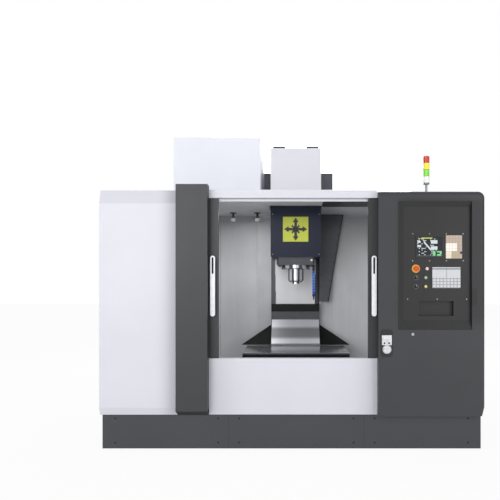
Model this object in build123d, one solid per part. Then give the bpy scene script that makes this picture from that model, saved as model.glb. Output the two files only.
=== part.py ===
"""Vertical machining center with a full enclosure and two sliding doors.

Millimetres, +Z up, the front faces -Y. While it is built, y = 0 is the plane of the doors'
front and y grows towards the back. At the end everything moves so that the origin is on the
floor, under the middle of the machine's whole depth and width.
"""
from build123d import *
import os
from math import cos, pi, sin

# Enclosure
half_width = 1818.0
enclosure_depth = 2200.0
enclosure_top = 2462.0
sheet = 4.0
plinth_top = 332.0
plinth_inset = 16.0
plinth_floor_gap = 4.0
top_bevel_height = 130.0
top_bevel_depth = 40.0
bottom_bevel_height = 70.0
bottom_bevel_depth = 24.0
housing_proud = 30.0
housing_width = 737.0

# Front pillar
pillar_width = 296.0
pillar_rise = 42.0
pillar_proud = 100.0
pillar_chamfer = 52.0

# Doors, drawn fully open
left_frame_lap = 89.0
right_frame_lap = 84.0
stile_width = 100.0
leaf_width = 860.0
leaf_thickness = 30.0
leaf_setback = 12.0
leaf_border = 90.0
leaf_overlap = 24.0
sill_height = 864.0
header_bottom = 2362.0
header_top = 2467.0
slide_gap = 0.3
meeting_gap = 2.0
window_thickness = 8.0
window_rebate = 12.0
track_height = 68.0
track_lap = 30.0
header_flange_gap = 4.0
apron_shelf = 60.0
apron_lip = 60.0

# Door handles
handle_width = 45.0
handle_length = 573.0
handle_bottom = 1266.0
handle_standoff = 26.0
handle_thickness = 18.0
handle_slot_length = 150.0
handle_slot_width = 18.0
handle_slot_depth = 6.0
handle_post_radius = 10.0

# Right cabinet with the operator panel
cabinet_width = 1004.0
cabinet_proud = 70.0
cabinet_top = 2443.0
cabinet_corner_radius = 62.0
cabinet_edge_radius = 40.0
cabinet_foot_step = 20.0
cabinet_foot_height = 82.0
recess_width = 693.0
recess_margin = 128.0
recess_bottom = 1141.0
recess_top = 2349.0
recess_depth = 32.0
recess_slope_left = 57.0
recess_slope_right = 10.0
recess_slope_bottom = 89.0
recess_slope_top = 50.0

# Operator panel
screen_offset = 305.0
screen_z = 1921.0
screen_width = 239.0
screen_height = 193.0
screen_bezel = 14.0
screen_proud = 5.0
keypad_offset = 532.0
keypad_width = 152.0
keypad_height = 218.0
keypad_columns = 5
keypad_rows = 7
key_panel_offset = 461.0
key_panel_z = 1632.0
key_panel_width = 264.0
key_panel_height = 196.0
key_panel_columns = 8
key_panel_rows = 5
plate_proud = 5.0
key_gap = 7.0
key_proud = 3.0
switch_column_offset = 174.0
switch_top_z = 1716.0
switch_pitch = 84.0
stop_radius = 27.0
stop_height = 34.0
stop_travel = 5.0
stop_ring_radius = 38.0
stop_ring_height = 4.0
knob_radius = 19.0
knob_height = 22.0
knob_bar_width = 9.0
knob_collar_radius = 25.0
knob_collar_height = 5.0
button_column_offset = 266.0
button_radius = 13.0
button_height = 9.0
button_travel = 3.0
button_collar_radius = 18.0
button_collar_height = 5.0
lamp_radius = 11.0
stem_radius = 6.0
stem_clearance = 0.1
stem_length = 24.0
press_clearance = 0.4
tray_offset = 205.0
tray_width = 324.0
tray_bottom = 1271.0
tray_top = 1410.0
tray_depth = 36.0
lock_offset = 136.0
lock_z = 1102.0
lock_radius = 16.0
lock_height = 12.0
side_slot_margin = 106.0
side_slot_z = 1450.0
side_slot_width = 44.0
side_slot_height = 166.0
side_slot_proud = 3.0
outlet_offset = 76.0
outlet_plate_width = 92.0
outlet_plate_height = 92.0
outlet_plate_bottom = 1001.0
outlet_backing_width = 112.0
outlet_backing_bottom = 887.0
outlet_backing_top = 1145.0
outlet_backing_thickness = 5.0
outlet_plate_thickness = 8.0
outlet_hole_radius = 9.0
outlet_hole_spacing = 42.0
outlet_bowl_radius = 41.0
outlet_bowl_z = 962.0
outlet_bowl_depth = 28.0

# Bed, feet and chip floor
spindle_x = 47.0
bed_half_width = 480.0
bed_end_gap = 8.0
bed_bottom = 60.0
bed_top = 470.0
bed_wall = 60.0
bed_rear_half_width = 560.0
bed_rear_top = 620.0
bed_trough_half = 120.0
bed_trough_depth = 150.0
y_way_centre = 350.0
y_way_width = 90.0
y_way_height = 30.0
way_film = 0.1
foot_pad_radius = 80.0
foot_pad_height = 30.0
foot_screw_radius = 22.0
chip_floor_drop = 110.0

# Column
column_front = 1700.0
column_half_width = 480.0
column_depth = 700.0
column_head_room = 242.0
column_back_slope = 160.0
column_shoulder = 1300.0
column_wall = 60.0
column_foot_reach = 50.0
column_foot_height = 60.0
column_pocket_depth = 18.0
column_pocket_margin = 90.0
column_pocket_radius = 40.0
z_way_centre = 235.0
z_way_width = 90.0
z_way_proud = 50.0
column_slot_half = 130.0
column_slot_depth = 150.0

# Travels
x_travel = 450.0
y_travel = 300.0
z_travel_down = 550.0
z_travel_up = 90.0

# Ball screws
screw_radius = 20.0
screw_end_radius = 15.0
screw_clearance = 0.08
bearing_length = 50.0
nut_half = 60.0
y_screw_drop = 50.0
x_motor_gap = 5.0
motor_size = 150.0
motor_length = 190.0

# Saddle and table
saddle_end_gap = 20.0
saddle_skirt = 15.0
saddle_top = 690.0
saddle_rim = 12.0
x_way_centre = 240.0
x_way_width = 90.0
x_way_height = 30.0
x_trough_half = 95.0
x_trough_gap = 4.0
table_length = 1151.0
table_depth = 660.0
table_front = 650.0
table_top = 829.0
table_skirt = 20.0
slot_count = 5
slot_pitch = 110.0
slot_width = 18.0
slot_foot_width = 30.0
slot_neck_depth = 18.0
slot_foot_height = 12.0

# Head and spindle
spindle_axis_y = 1000.0
head_front = 820.0
head_half_width = 279.0
head_cover_back = 1560.0
head_cover_bottom = 1870.0
head_cover_split = 2451.0
head_cover_top = 3070.0
head_nose_half = 210.0
head_nose_front = 842.0
head_nose_bottom = 1779.0
head_body_top = 2330.0
carriage_front = 1585.0
carriage_half_width = 296.0
carriage_end_gap = 66.0
carriage_top = 2640.0
spindle_flange_radius = 150.0
spindle_flange_height = 45.0
cartridge_radius = 90.0
cartridge_length = 150.0
cartridge_tip_radius = 66.0
cartridge_tip_length = 24.0
spindle_nose_radius = 44.45
spindle_nose_length = 16.0
spindle_gap = 0.4
spindle_bore_clearance = 0.1
spindle_shaft_radius = 34.0
taper_mouth_radius = 22.2
taper_end_radius = 12.7
taper_length = 65.0
drive_key_width = 15.9
drive_key_height = 8.0
drive_key_inner = 27.0
drive_key_outer = 42.0
outlet_count = 8
outlet_ring_radius = 160.0
outlet_radius = 9.0
outlet_tip_radius = 5.0
outlet_length = 52.0
spindle_motor_radius = 120.0
spindle_motor_length = 380.0
spindle_motor_cap = 50.0
shaft_rise = 18.0
shaft_motor_gap = 2.0
motor_plate_thickness = 10.0
motor_rib_setback = 150.0
top_bar_width = 132.0
top_bar_height = 20.0
top_bar_depth = 90.0
nozzle_x = 200.0
nozzle_y = 900.0
nozzle_segments = 11
nozzle_pitch = 32.0
nozzle_ball_radius = 17.0
nozzle_neck_radius = 10.0
nozzle_tip_length = 40.0
valve_margin = 36.0
valve_drop = 38.0
valve_radius = 12.0
valve_proud = 14.0

# Cover plates of the vertical ways
cover_sheet = 4.0
cover_gap = 0.3
cover_half_width = 252.0
cover_top_length = 250.0
cover_middle_bottom = 1470.0
cover_middle_length = 250.0
cover_low_bottom = 1275.0
cover_low_length = 240.0

# Column apron, slope cover and guards behind the table
apron_half_width = 299.0
apron_front = 1576.0
apron_bottom = 1119.0
apron_split = 1220.0
apron_top = 1314.0
slope_half_width = 292.0
slope_front = 1322.0
slope_bottom = 838.0
guard_reach = 355.0
guard_top = 1052.0
side_guard_top_width = 300.0
side_guard_bottom_width = 118.0
side_guard_bottom = 1344.0
side_guard_front = 1560.0

# Inner walls
inner_half_width = 1180.0
inner_bottom = 560.0
ceiling_height = 2430.0
head_opening_clearance = 18.0
roof_lap = 9.0
fitting_offsets = (756.0, 463.0)
fitting_y = 1400.0
fitting_drop = 112.0
fitting_base_radius = 42.0
fitting_neck_radius = 14.0
fitting_head_radius = 34.0
fitting_head_length = 58.0

# Tool magazine on the roof
magazine_width = 930.0
magazine_head_gap = 104.0
magazine_front = 650.0
magazine_back = 1450.0
magazine_top = 3140.0
magazine_disc_radius = 300.0
magazine_disc_thickness = 40.0
magazine_disc_offset = 496.0
magazine_pitch_radius = 262.0
magazine_bore_radius = 40.0
magazine_pin_clearance = 0.08
pot_count = 24
pot_radius = 30.0
pot_length = 110.0
pot_bore_radius = 20.0
stand_half_width = 110.0
stand_thickness = 30.0
stand_disc_gap = 60.0
stand_foot_half = 160.0
stand_foot_length = 150.0
stand_foot_height = 20.0

# Signal tower
tower_offset = 542.0
tower_y = 300.0
tower_lamp_radius = 31.0
tower_lamp_height = 67.0
tower_lamp_bottom = 2585.0
tower_pole_radius = 11.0
tower_base_radius = 34.0

# Electrical cabinet and coolant tank at the back
electric_bed_gap = 33.0
electric_width = 940.0
electric_depth = 400.0
electric_bottom = 400.0
electric_height = 1800.0
electric_door_gap = 2.0
electric_door_thickness = 20.0
hinge_radius = 9.0
hinge_clearance = 0.1
hinge_length = 90.0
electric_handle_proud = 34.0
electric_handle_margin = 60.0
electric_handle_width = 24.0
electric_handle_half = 80.0
module_width = 150.0
module_height = 320.0
module_depth = 180.0
module_side_margin = 80.0
module_end_margin = 160.0
louvre_count = 8
louvre_length = 320.0
louvre_pitch = 34.0
louvre_height = 20.0
louvre_proud = 8.0
louvre_end_margin = 170.0
tank_bed_gap = 27.0
tank_width = 1000.0
tank_depth = 420.0
tank_height = 400.0
tank_foot_height = 40.0
tank_foot_width = 60.0
pump_radius = 75.0
pump_height = 330.0

# Sizes that follow from the ones above
bed_front = table_front - saddle_rim - y_travel - bed_end_gap
saddle_half_length = x_travel + nut_half + bearing_length + saddle_end_gap
carriage_bottom = apron_top + z_travel_down + carriage_end_gap
column_top = carriage_top + z_travel_up + column_head_room
housing_face = -housing_proud
cabinet_left = half_width - cabinet_width
pillar_left = -half_width + housing_width
recess_right = half_width - recess_margin
recess_left = recess_right - recess_width
screen_x = recess_left + screen_offset
keypad_x = recess_left + keypad_offset
key_panel_x = recess_left + key_panel_offset
switch_column_x = recess_left + switch_column_offset
button_column_x = recess_left + button_column_offset
tray_left = recess_left + tray_offset
tray_right = tray_left + tray_width
lock_x = recess_left + lock_offset
side_slot_x = half_width - side_slot_margin
outlet_x = cabinet_left + outlet_offset
tower_x = cabinet_left + tower_offset
roof_set_back = housing_face + top_bevel_depth + sheet
pillar_right = pillar_left + pillar_width
leaf_front = leaf_setback
leaf_back = leaf_setback + leaf_thickness
track_front = leaf_back + slide_gap
wall_front = track_front + sheet
header_back = wall_front + 2 * sheet
left_opening_edge = pillar_right + left_frame_lap
right_opening_edge = cabinet_left - right_frame_lap
door_centre = (left_opening_edge + right_opening_edge) / 2
opening_half = (right_opening_edge - left_opening_edge) / 2
door_travel = opening_half - meeting_gap / 2
panel_face = recess_depth - cabinet_proud
table_middle = table_front + table_depth / 2
bed_back = column_front + column_depth
way_top = bed_top + y_way_height
saddle_bottom = way_top - saddle_skirt
x_way_top = saddle_top + x_way_height
table_bottom = x_way_top - table_skirt
y_screw_z = bed_top - y_screw_drop
x_screw_z = table_bottom - motor_size / 2 - x_motor_gap
z_way_front = column_front - z_way_proud
z_screw_y = column_front - z_way_proud / 2
magazine_right = spindle_x - head_half_width - magazine_head_gap
magazine_left = magazine_right - magazine_width
magazine_disc_x = magazine_left + magazine_disc_offset
magazine_middle_y = (magazine_front + magazine_back) / 2
magazine_middle_z = (enclosure_top + magazine_top) / 2
electric_left = spindle_x + bed_rear_half_width + electric_bed_gap
electric_right = electric_left + electric_width
tank_right = spindle_x - bed_rear_half_width - tank_bed_gap
tank_left = tank_right - tank_width
tank_front = enclosure_depth
electric_back = enclosure_depth + electric_depth
rear_most = electric_back + electric_door_gap + electric_door_thickness + electric_handle_proud
front_most = -cabinet_proud - outlet_backing_thickness - outlet_bowl_depth
origin_y = (front_most + rear_most) / 2

nodes = {}


def block(x0, x1, y0, y1, z0, z1):
    """A box between two corners."""
    middle = ((x0 + x1) / 2, (y0 + y1) / 2, (z0 + z1) / 2)
    return Pos(*middle) * Box(x1 - x0, y1 - y0, z1 - z0)


def along_x(points, x0, x1):
    """A closed outline of (y, z) points, extruded from x0 to x1."""
    outline = Face(Wire.make_polygon([Vector(x0, y, z) for y, z in points]))
    return extrude(outline, amount=x1 - x0, dir=(1, 0, 0))


def along_y(points, y0, y1):
    """A closed outline of (x, z) points, extruded from y0 to y1."""
    outline = Face(Wire.make_polygon([Vector(x, y0, z) for x, z in points]))
    return extrude(outline, amount=y1 - y0, dir=(0, 1, 0))


def rod_x(x0, x1, y, z, radius):
    return Pos((x0 + x1) / 2, y, z) * Rot(0, 90, 0) * Cylinder(radius, x1 - x0)


def rod_y(x, y0, y1, z, radius):
    return Pos(x, (y0 + y1) / 2, z) * Rot(90, 0, 0) * Cylinder(radius, y1 - y0)


def rod_z(x, y, z0, z1, radius):
    return Pos(x, y, (z0 + z1) / 2) * Cylinder(radius, z1 - z0)


def spun_y(x, z, points):
    """A turned piece on an axis along Y: points are (radius, y)."""
    outline = Face(Wire.make_polygon([Vector(x + radius, y, z) for radius, y in points]))
    return revolve(outline, Axis((x, 0, z), (0, 1, 0)), 360)


def spun_z(x, y, points):
    """A turned piece on a vertical axis: points are (radius, z)."""
    outline = Face(Wire.make_polygon([Vector(x + radius, y, z) for radius, z in points]))
    return revolve(outline, Axis((x, y, 0), (0, 0, 1)), 360)


def add(name, *shapes):
    """Add shapes to a node. Each solid of each shape stays a solid of its own."""
    solids = nodes.setdefault(name, [])
    for shape in shapes:
        solids.extend(shape.solids())


def build_bed():
    front_part = block(spindle_x - bed_half_width, spindle_x + bed_half_width,
                       bed_front, column_front, bed_bottom, bed_top)
    rear_part = block(spindle_x - bed_rear_half_width, spindle_x + bed_rear_half_width,
                      column_front - bed_wall, bed_back, bed_bottom, bed_rear_top)
    bed = front_part + rear_part
    for side in (-1, 1):
        centre = spindle_x + side * y_way_centre
        bed += block(centre - y_way_width / 2, centre + y_way_width / 2,
                     bed_front, column_front - bed_wall, bed_top, way_top)
    trough_bottom = bed_top - bed_trough_depth
    bed -= block(spindle_x - bed_trough_half, spindle_x + bed_trough_half,
                 bed_front + bed_wall, column_front - 2 * bed_wall, trough_bottom, bed_top)
    screw_hole = bearing_length / 2
    bed -= rod_y(spindle_x, bed_front, bed_front + bed_wall, y_screw_z, screw_hole)
    # Cast pockets along both sides lighten the walls between the ribs.
    pocket_count = 3
    pocket_span = (column_front - bed_front - 2 * bed_wall) / pocket_count
    for side in (-1, 1):
        outer = spindle_x + side * bed_half_width
        for index in range(pocket_count):
            start = bed_front + bed_wall + index * pocket_span
            pocket = block(outer - bed_wall, outer + bed_wall, start, start + pocket_span - bed_wall,
                           bed_bottom + bed_wall, bed_top - bed_wall)
            bed -= pocket
    add("bed", bed)

    feet = []
    for side in (-1, 1):
        for foot_y in (bed_front + foot_pad_radius, column_front - foot_pad_radius,
                       bed_back - foot_pad_radius):
            x = spindle_x + side * (bed_half_width - foot_pad_radius)
            feet.append(spun_z(x, foot_y, [
                (0, 0), (foot_pad_radius, 0), (foot_pad_radius, foot_pad_height / 2),
                (foot_screw_radius * 2, foot_pad_height), (foot_screw_radius, foot_pad_height),
                (foot_screw_radius, bed_bottom), (0, bed_bottom)]))
    add("levelling_feet", *feet)


def column_foot():
    """The flange that bolts the column to the bed."""
    reach = column_half_width + column_foot_reach
    foot = block(spindle_x - reach, spindle_x + reach, column_front + column_slot_depth, bed_back,
                 bed_rear_top, bed_rear_top + column_foot_height)
    core = block(spindle_x - column_half_width + column_wall, spindle_x + column_half_width - column_wall,
                 column_front + column_slot_depth, bed_back - column_wall,
                 bed_rear_top, bed_rear_top + column_foot_height)
    return chamfer(foot.edges().filter_by(Axis.Y).sort_by(Axis.Z)[-2:], column_foot_height / 3) - core


def cast_pocket(flank):
    """A shallow rounded pocket in the column's flank, as the casting has between its ribs."""
    low = bed_rear_top + column_foot_height + column_pocket_margin
    front = column_front + column_pocket_margin
    back = bed_back - column_pocket_margin
    pocket = block(flank - column_pocket_depth, flank + column_pocket_depth, front, back, low,
                   column_shoulder - column_pocket_margin)
    upper = block(flank - column_pocket_depth, flank + column_pocket_depth, front,
                  back - column_back_slope, column_shoulder, column_top - column_pocket_margin)
    return [fillet(body.edges().filter_by(Axis.X), column_pocket_radius) for body in (pocket, upper)]


def build_column():
    back = bed_back
    outline = [(column_front, bed_rear_top), (back, bed_rear_top), (back, column_shoulder),
               (back - column_back_slope, column_top), (column_front, column_top)]
    column = along_x(outline, spindle_x - column_half_width, spindle_x + column_half_width)
    hollow = [(column_front + column_slot_depth + column_wall, bed_rear_top),
              (back - column_wall, bed_rear_top), (back - column_wall, column_shoulder),
              (back - column_back_slope - column_wall, column_top - column_wall),
              (column_front + column_slot_depth + column_wall, column_top - column_wall)]
    column -= along_x(hollow, spindle_x - column_half_width + column_wall,
                      spindle_x + column_half_width - column_wall)
    column -= block(spindle_x - column_slot_half, spindle_x + column_slot_half,
                    column_front, column_front + column_slot_depth,
                    apron_top, column_top - column_wall)
    for side in (-1, 1):
        flank = spindle_x + side * column_half_width
        column -= cast_pocket(flank)
    column += column_foot()
    for side in (-1, 1):
        centre = spindle_x + side * z_way_centre
        column += block(centre - z_way_width / 2, centre + z_way_width / 2,
                        z_way_front, column_front, apron_bottom, column_top - column_wall)
    add("column", column)


def bearing(middle, direction):
    """A pillow block with the bore of a screw's end, standing across the screw."""
    half = bearing_length / 2
    size = 2 * bearing_length
    hole = screw_end_radius + screw_clearance
    if direction == "x":
        body = Box(bearing_length, size, size) - Rot(0, 90, 0) * Cylinder(hole, 4 * half)
    elif direction == "y":
        body = Box(size, bearing_length, size) - Rot(90, 0, 0) * Cylinder(hole, 4 * half)
    else:
        body = Box(size, size, bearing_length) - Cylinder(hole, 4 * half)
    return Pos(*middle) * body


def screw(length, end_length):
    """A ball screw along Z, middle at the origin, with a turned-down end at both sides."""
    body = Cylinder(screw_radius, length)
    for side in (-1, 1):
        body += Pos(0, 0, side * (length / 2 + end_length / 2)) * Cylinder(screw_end_radius, end_length)
    return body


def servo_motor():
    """A servo motor along Z: its flange lies at z = 0 and the body runs up."""
    flange = motor_size / 12
    half = motor_size / 2
    body = Pos(0, 0, flange / 2) * Box(motor_size, motor_size, flange)
    core = Pos(0, 0, flange + motor_length / 2) * Box(motor_size * 0.86, motor_size * 0.86, motor_length)
    core = chamfer(core.edges().filter_by(Axis.Z), motor_size / 9)
    plug = Box(motor_size / 3, motor_size / 6, motor_size / 3)
    plug = Pos(0, half * 0.86 + motor_size / 12, motor_length) * plug
    return body + core + plug


def build_screws():
    # The cross screw in the bed's trough
    y_low = bed_front + bed_wall + bearing_length
    y_high = column_front - 2 * bed_wall - bearing_length
    y_middle = (y_low + y_high) / 2
    end = bearing_length
    add("y_screw", Pos(spindle_x, y_middle, y_screw_z) * Rot(90, 0, 0)
        * screw(y_high - y_low - 2 * slide_gap, end))
    blocks = [bearing((spindle_x, y_low - bearing_length / 2, y_screw_z), "y"),
              bearing((spindle_x, y_high + bearing_length / 2, y_screw_z), "y")]
    # The vertical screw in the column's slot
    z_low = apron_top + bearing_length
    z_high = column_top - column_wall - bearing_length
    add("z_screw", Pos(spindle_x, z_screw_y, (z_low + z_high) / 2)
        * screw(z_high - z_low - 2 * slide_gap, end))
    for middle in (z_low - bearing_length / 2, z_high + bearing_length / 2):
        block_body = bearing((spindle_x, z_screw_y, middle), "z")
        blocks.append(block_body + block(spindle_x - bearing_length, spindle_x + bearing_length,
                                         z_screw_y + bearing_length, column_front + column_slot_depth,
                                         middle - bearing_length / 2, middle + bearing_length / 2))
    add("screw_bearings", *blocks)
    y_motor = Pos(spindle_x, bed_front, y_screw_z) * Rot(90, 0, 0) * servo_motor()
    plate_top = column_top + 16
    plate = block(spindle_x - motor_size, spindle_x + motor_size, z_screw_y - motor_size / 2,
                  column_front + motor_size, column_top, plate_top)
    z_motor = Pos(spindle_x, z_screw_y, plate_top) * servo_motor() + plate
    add("axis_motors", y_motor, z_motor)
    # The long screw on the saddle
    x_reach = saddle_half_length - bearing_length
    add("x_screw", Pos(spindle_x, table_middle, x_screw_z) * Rot(0, 90, 0)
        * screw(2 * x_reach - 2 * slide_gap, end))
    add("x_motor", Pos(spindle_x + saddle_half_length, table_middle, x_screw_z)
        * Rot(0, 90, 0) * servo_motor())


def build_saddle():
    front = table_front - saddle_rim
    back = table_front + table_depth + saddle_rim
    left = spindle_x - saddle_half_length
    right = spindle_x + saddle_half_length
    saddle = block(left, right, front, back, saddle_bottom, saddle_top)
    for side in (-1, 1):
        centre = spindle_x + side * y_way_centre
        half = y_way_width / 2 + way_film
        saddle -= block(centre - half, centre + half, front, back, saddle_bottom, way_top + way_film)
        way = table_middle + side * x_way_centre
        saddle += block(left, right, way - x_way_width / 2, way + x_way_width / 2,
                        saddle_top, x_way_top)
    trough_bottom = x_screw_z - nut_half * 0.6 - x_trough_gap
    saddle -= block(left + bearing_length, right - bearing_length, table_middle - x_trough_half,
                    table_middle + x_trough_half, trough_bottom, saddle_top)
    end_hole = screw_end_radius + screw_clearance
    saddle -= rod_x(left, right, table_middle, x_screw_z, end_hole)
    # The nut bracket hangs into the bed's trough round the cross screw.
    nut_low = y_screw_z - nut_half * 0.8
    saddle += block(spindle_x - nut_half, spindle_x + nut_half, table_middle - nut_half,
                    table_middle + nut_half, nut_low, saddle_bottom)
    saddle -= rod_y(spindle_x, table_middle - 2 * nut_half, table_middle + 2 * nut_half,
                    y_screw_z, screw_radius + screw_clearance)
    add("saddle", saddle)


def build_table():
    left = spindle_x - table_length / 2
    right = spindle_x + table_length / 2
    back = table_front + table_depth
    table = block(left, right, table_front, back, table_bottom, table_top)
    table = chamfer(table.edges().filter_by(Axis.Z), 6)
    for side in (-1, 1):
        way = table_middle + side * x_way_centre
        half = x_way_width / 2 + way_film
        table -= block(left, right, way - half, way + half, table_bottom, x_way_top + way_film)
    neck_bottom = table_top - slot_neck_depth
    foot_bottom = neck_bottom - slot_foot_height
    for index in range(slot_count):
        middle = table_middle + (index - (slot_count - 1) / 2) * slot_pitch
        neck = slot_width / 2
        foot = slot_foot_width / 2
        tee = [(middle - neck, table_top), (middle - neck, neck_bottom), (middle - foot, neck_bottom),
               (middle - foot, foot_bottom), (middle + foot, foot_bottom), (middle + foot, neck_bottom),
               (middle + neck, neck_bottom), (middle + neck, table_top)]
        table -= along_x(tee, left, right)
    nut_low = x_screw_z - nut_half * 0.6
    table += block(spindle_x - nut_half, spindle_x + nut_half, table_middle - nut_half,
                   table_middle + nut_half, nut_low, table_bottom)
    table -= rod_x(spindle_x - 2 * nut_half, spindle_x + 2 * nut_half, table_middle,
                   x_screw_z, screw_radius + screw_clearance)
    add("table", table)


def build_head():
    nose_back = apron_front - 2 * sheet
    nose = block(spindle_x - head_nose_half, spindle_x + head_nose_half, head_nose_front,
                 nose_back, head_nose_bottom, head_cover_bottom)
    nose = chamfer(nose.edges().filter_by(Axis.Z), 20)
    body = block(spindle_x - head_nose_half, spindle_x + head_nose_half,
                 head_nose_front + 4 * sheet, nose_back, head_cover_bottom, carriage_bottom)
    body += block(spindle_x - head_nose_half, spindle_x + head_nose_half,
                  head_nose_front + 4 * sheet, carriage_front, carriage_bottom, head_body_top)
    carriage = block(spindle_x - carriage_half_width, spindle_x + carriage_half_width,
                     carriage_front, column_front - way_film, carriage_bottom, carriage_top)
    for side in (-1, 1):
        centre = spindle_x + side * z_way_centre
        half = z_way_width / 2 + way_film
        carriage -= block(centre - half, centre + half, z_way_front - way_film, column_front,
                          carriage_bottom, carriage_top)
    # A pocket down the back clears the vertical screw, and the nut block stands in it.
    carriage -= block(spindle_x - 1.5 * nut_half, spindle_x + 1.5 * nut_half,
                      z_screw_y - nut_half, column_front, carriage_bottom, carriage_top)
    nut_z = (carriage_bottom + carriage_top) / 2
    nut = block(spindle_x - nut_half, spindle_x + nut_half, z_screw_y - nut_half,
                z_screw_y + nut_half * 0.6, nut_z - nut_half, nut_z + nut_half)
    head = nose + body + carriage + nut
    head -= rod_z(spindle_x, z_screw_y, nut_z - 2 * nut_half, nut_z + 2 * nut_half,
                  screw_radius + screw_clearance)
    head -= rod_z(spindle_x, spindle_axis_y, head_nose_bottom, head_body_top, cartridge_radius)
    add("head_casting", head)

    # Cartridge: flange under the head, a stepped nose and the bore of the spindle
    bottom = head_nose_bottom - spindle_flange_height
    tip = bottom - cartridge_length
    bore = spindle_shaft_radius + spindle_bore_clearance
    add("spindle_cartridge", spun_z(spindle_x, spindle_axis_y, [
        (bore, head_body_top), (cartridge_radius, head_body_top), (cartridge_radius, head_nose_bottom),
        (spindle_flange_radius, head_nose_bottom), (spindle_flange_radius, bottom + 12),
        (spindle_flange_radius - 14, bottom), (cartridge_radius, bottom),
        (cartridge_radius, tip + cartridge_tip_length), (cartridge_tip_radius, tip), (bore, tip)]))
    nose_top = tip - spindle_gap
    shaft_top = head_body_top + shaft_rise
    nose_low = nose_top - spindle_nose_length
    add("spindle", spun_z(spindle_x, spindle_axis_y, [
        (taper_mouth_radius, nose_low), (spindle_nose_radius - 2, nose_low),
        (spindle_nose_radius, nose_low + 2), (spindle_nose_radius, nose_top),
        (spindle_shaft_radius, nose_top), (spindle_shaft_radius, shaft_top), (0, shaft_top),
        (0, nose_low + taper_length + 20), (taper_end_radius, nose_low + taper_length)]))
    for side in (-1, 1):
        ends = sorted((spindle_axis_y + side * drive_key_inner, spindle_axis_y + side * drive_key_outer))
        add("spindle", block(spindle_x - drive_key_width / 2, spindle_x + drive_key_width / 2, *ends,
                             nose_low - drive_key_height, nose_low))
    outlet_low = head_nose_bottom - outlet_length
    for index in range(outlet_count):
        angle = 2 * pi * (index + 0.5) / outlet_count
        add("spindle_cartridge", spun_z(
            spindle_x + outlet_ring_radius * cos(angle), spindle_axis_y + outlet_ring_radius * sin(angle),
            [(0, outlet_low), (outlet_tip_radius, outlet_low), (outlet_radius, outlet_low + outlet_radius),
             (outlet_radius, head_nose_bottom), (0, head_nose_bottom)]))
    plate_low = shaft_top + shaft_motor_gap
    motor_low = plate_low + motor_plate_thickness
    shoulder = motor_low + spindle_motor_length - spindle_motor_cap
    motor = spun_z(spindle_x, spindle_axis_y, [
        (0, motor_low), (spindle_motor_radius, motor_low), (spindle_motor_radius, shoulder),
        (spindle_motor_radius - 20, motor_low + spindle_motor_length), (0, motor_low + spindle_motor_length)])
    plate = block(spindle_x - head_nose_half, spindle_x + head_nose_half,
                  spindle_axis_y - spindle_motor_radius - motor_plate_thickness, carriage_front,
                  plate_low, motor_low)
    rib = block(spindle_x - head_nose_half, spindle_x + head_nose_half, spindle_axis_y + motor_rib_setback,
                carriage_front, head_body_top, plate_low)
    add("spindle_motor", motor + plate + rib)

    left = spindle_x - head_half_width
    right = spindle_x + head_half_width
    for name, low, high, closed in (("head_cover_lower", head_cover_bottom, head_cover_split, False),
                                    ("head_cover_upper", head_cover_split, head_cover_top, True)):
        front_wall = block(left, right, head_front, head_front + sheet, low, high)
        side_walls = [block(x, x + sheet, head_front + sheet, head_cover_back, low, high)
                      for x in (left, right - sheet)]
        cover = front_wall + side_walls[0] + side_walls[1]
        if closed:
            cover += block(left, right, head_front, head_cover_back, high - sheet, high)
            for middle in (left + top_bar_width * 0.7, right - top_bar_width * 0.7):
                cover += block(middle - top_bar_width / 2, middle + top_bar_width / 2,
                               head_front + 40, head_front + 40 + top_bar_depth, high, high + top_bar_height)
        else:
            # The floor closes the cover round the nose and rests on the casting.
            floor = block(left, right, head_front, head_cover_back, low, low + sheet)
            floor -= block(spindle_x - head_nose_half, spindle_x + head_nose_half,
                           head_nose_front + 4 * sheet, head_cover_back, low, low + sheet)
            cover += floor
        add(name, cover)

    x = spindle_x + nozzle_x
    top = head_nose_bottom
    points = [(0, top)]
    level = top
    for index in range(nozzle_segments):
        points.append((nozzle_neck_radius, level))
        points.append((nozzle_ball_radius, level - nozzle_pitch * 0.3))
        points.append((nozzle_ball_radius, level - nozzle_pitch * 0.75))
        level -= nozzle_pitch
    points.append((nozzle_neck_radius, level))
    points.append((nozzle_neck_radius * 0.5, level - nozzle_tip_length))
    points.append((0, level - nozzle_tip_length))
    add("coolant_nozzle", spun_z(x, nozzle_y, points))
    # The valve's knob stands on the head's front, over the nozzle.
    valve_x = spindle_x + head_nose_half - valve_margin
    valve_middle = head_nose_front - valve_proud / 2
    valve_front = head_nose_front - valve_proud
    add("coolant_nozzle", spun_y(valve_x, head_cover_bottom - valve_drop, [
        (0, head_nose_front), (valve_radius * 0.6, head_nose_front), (valve_radius * 0.6, valve_middle),
        (valve_radius, valve_middle), (valve_radius - 2, valve_front), (0, valve_front)]))


def cover_plate(order, low, high):
    """One plate of the telescopic cover: a front sheet with a flange at both sides."""
    inset = order * (cover_sheet + cover_gap)
    front = carriage_front + 5 + inset
    half = cover_half_width - inset
    flange_back = z_way_front - slide_gap - (2 - order) * 2
    plate = block(spindle_x - half, spindle_x + half, front, front + cover_sheet, low, high)
    for side in (-1, 1):
        edge = spindle_x + side * half
        inner = edge - side * cover_sheet
        plate += block(min(edge, inner), max(edge, inner), front, flange_back, low, high)
    return plate


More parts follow.
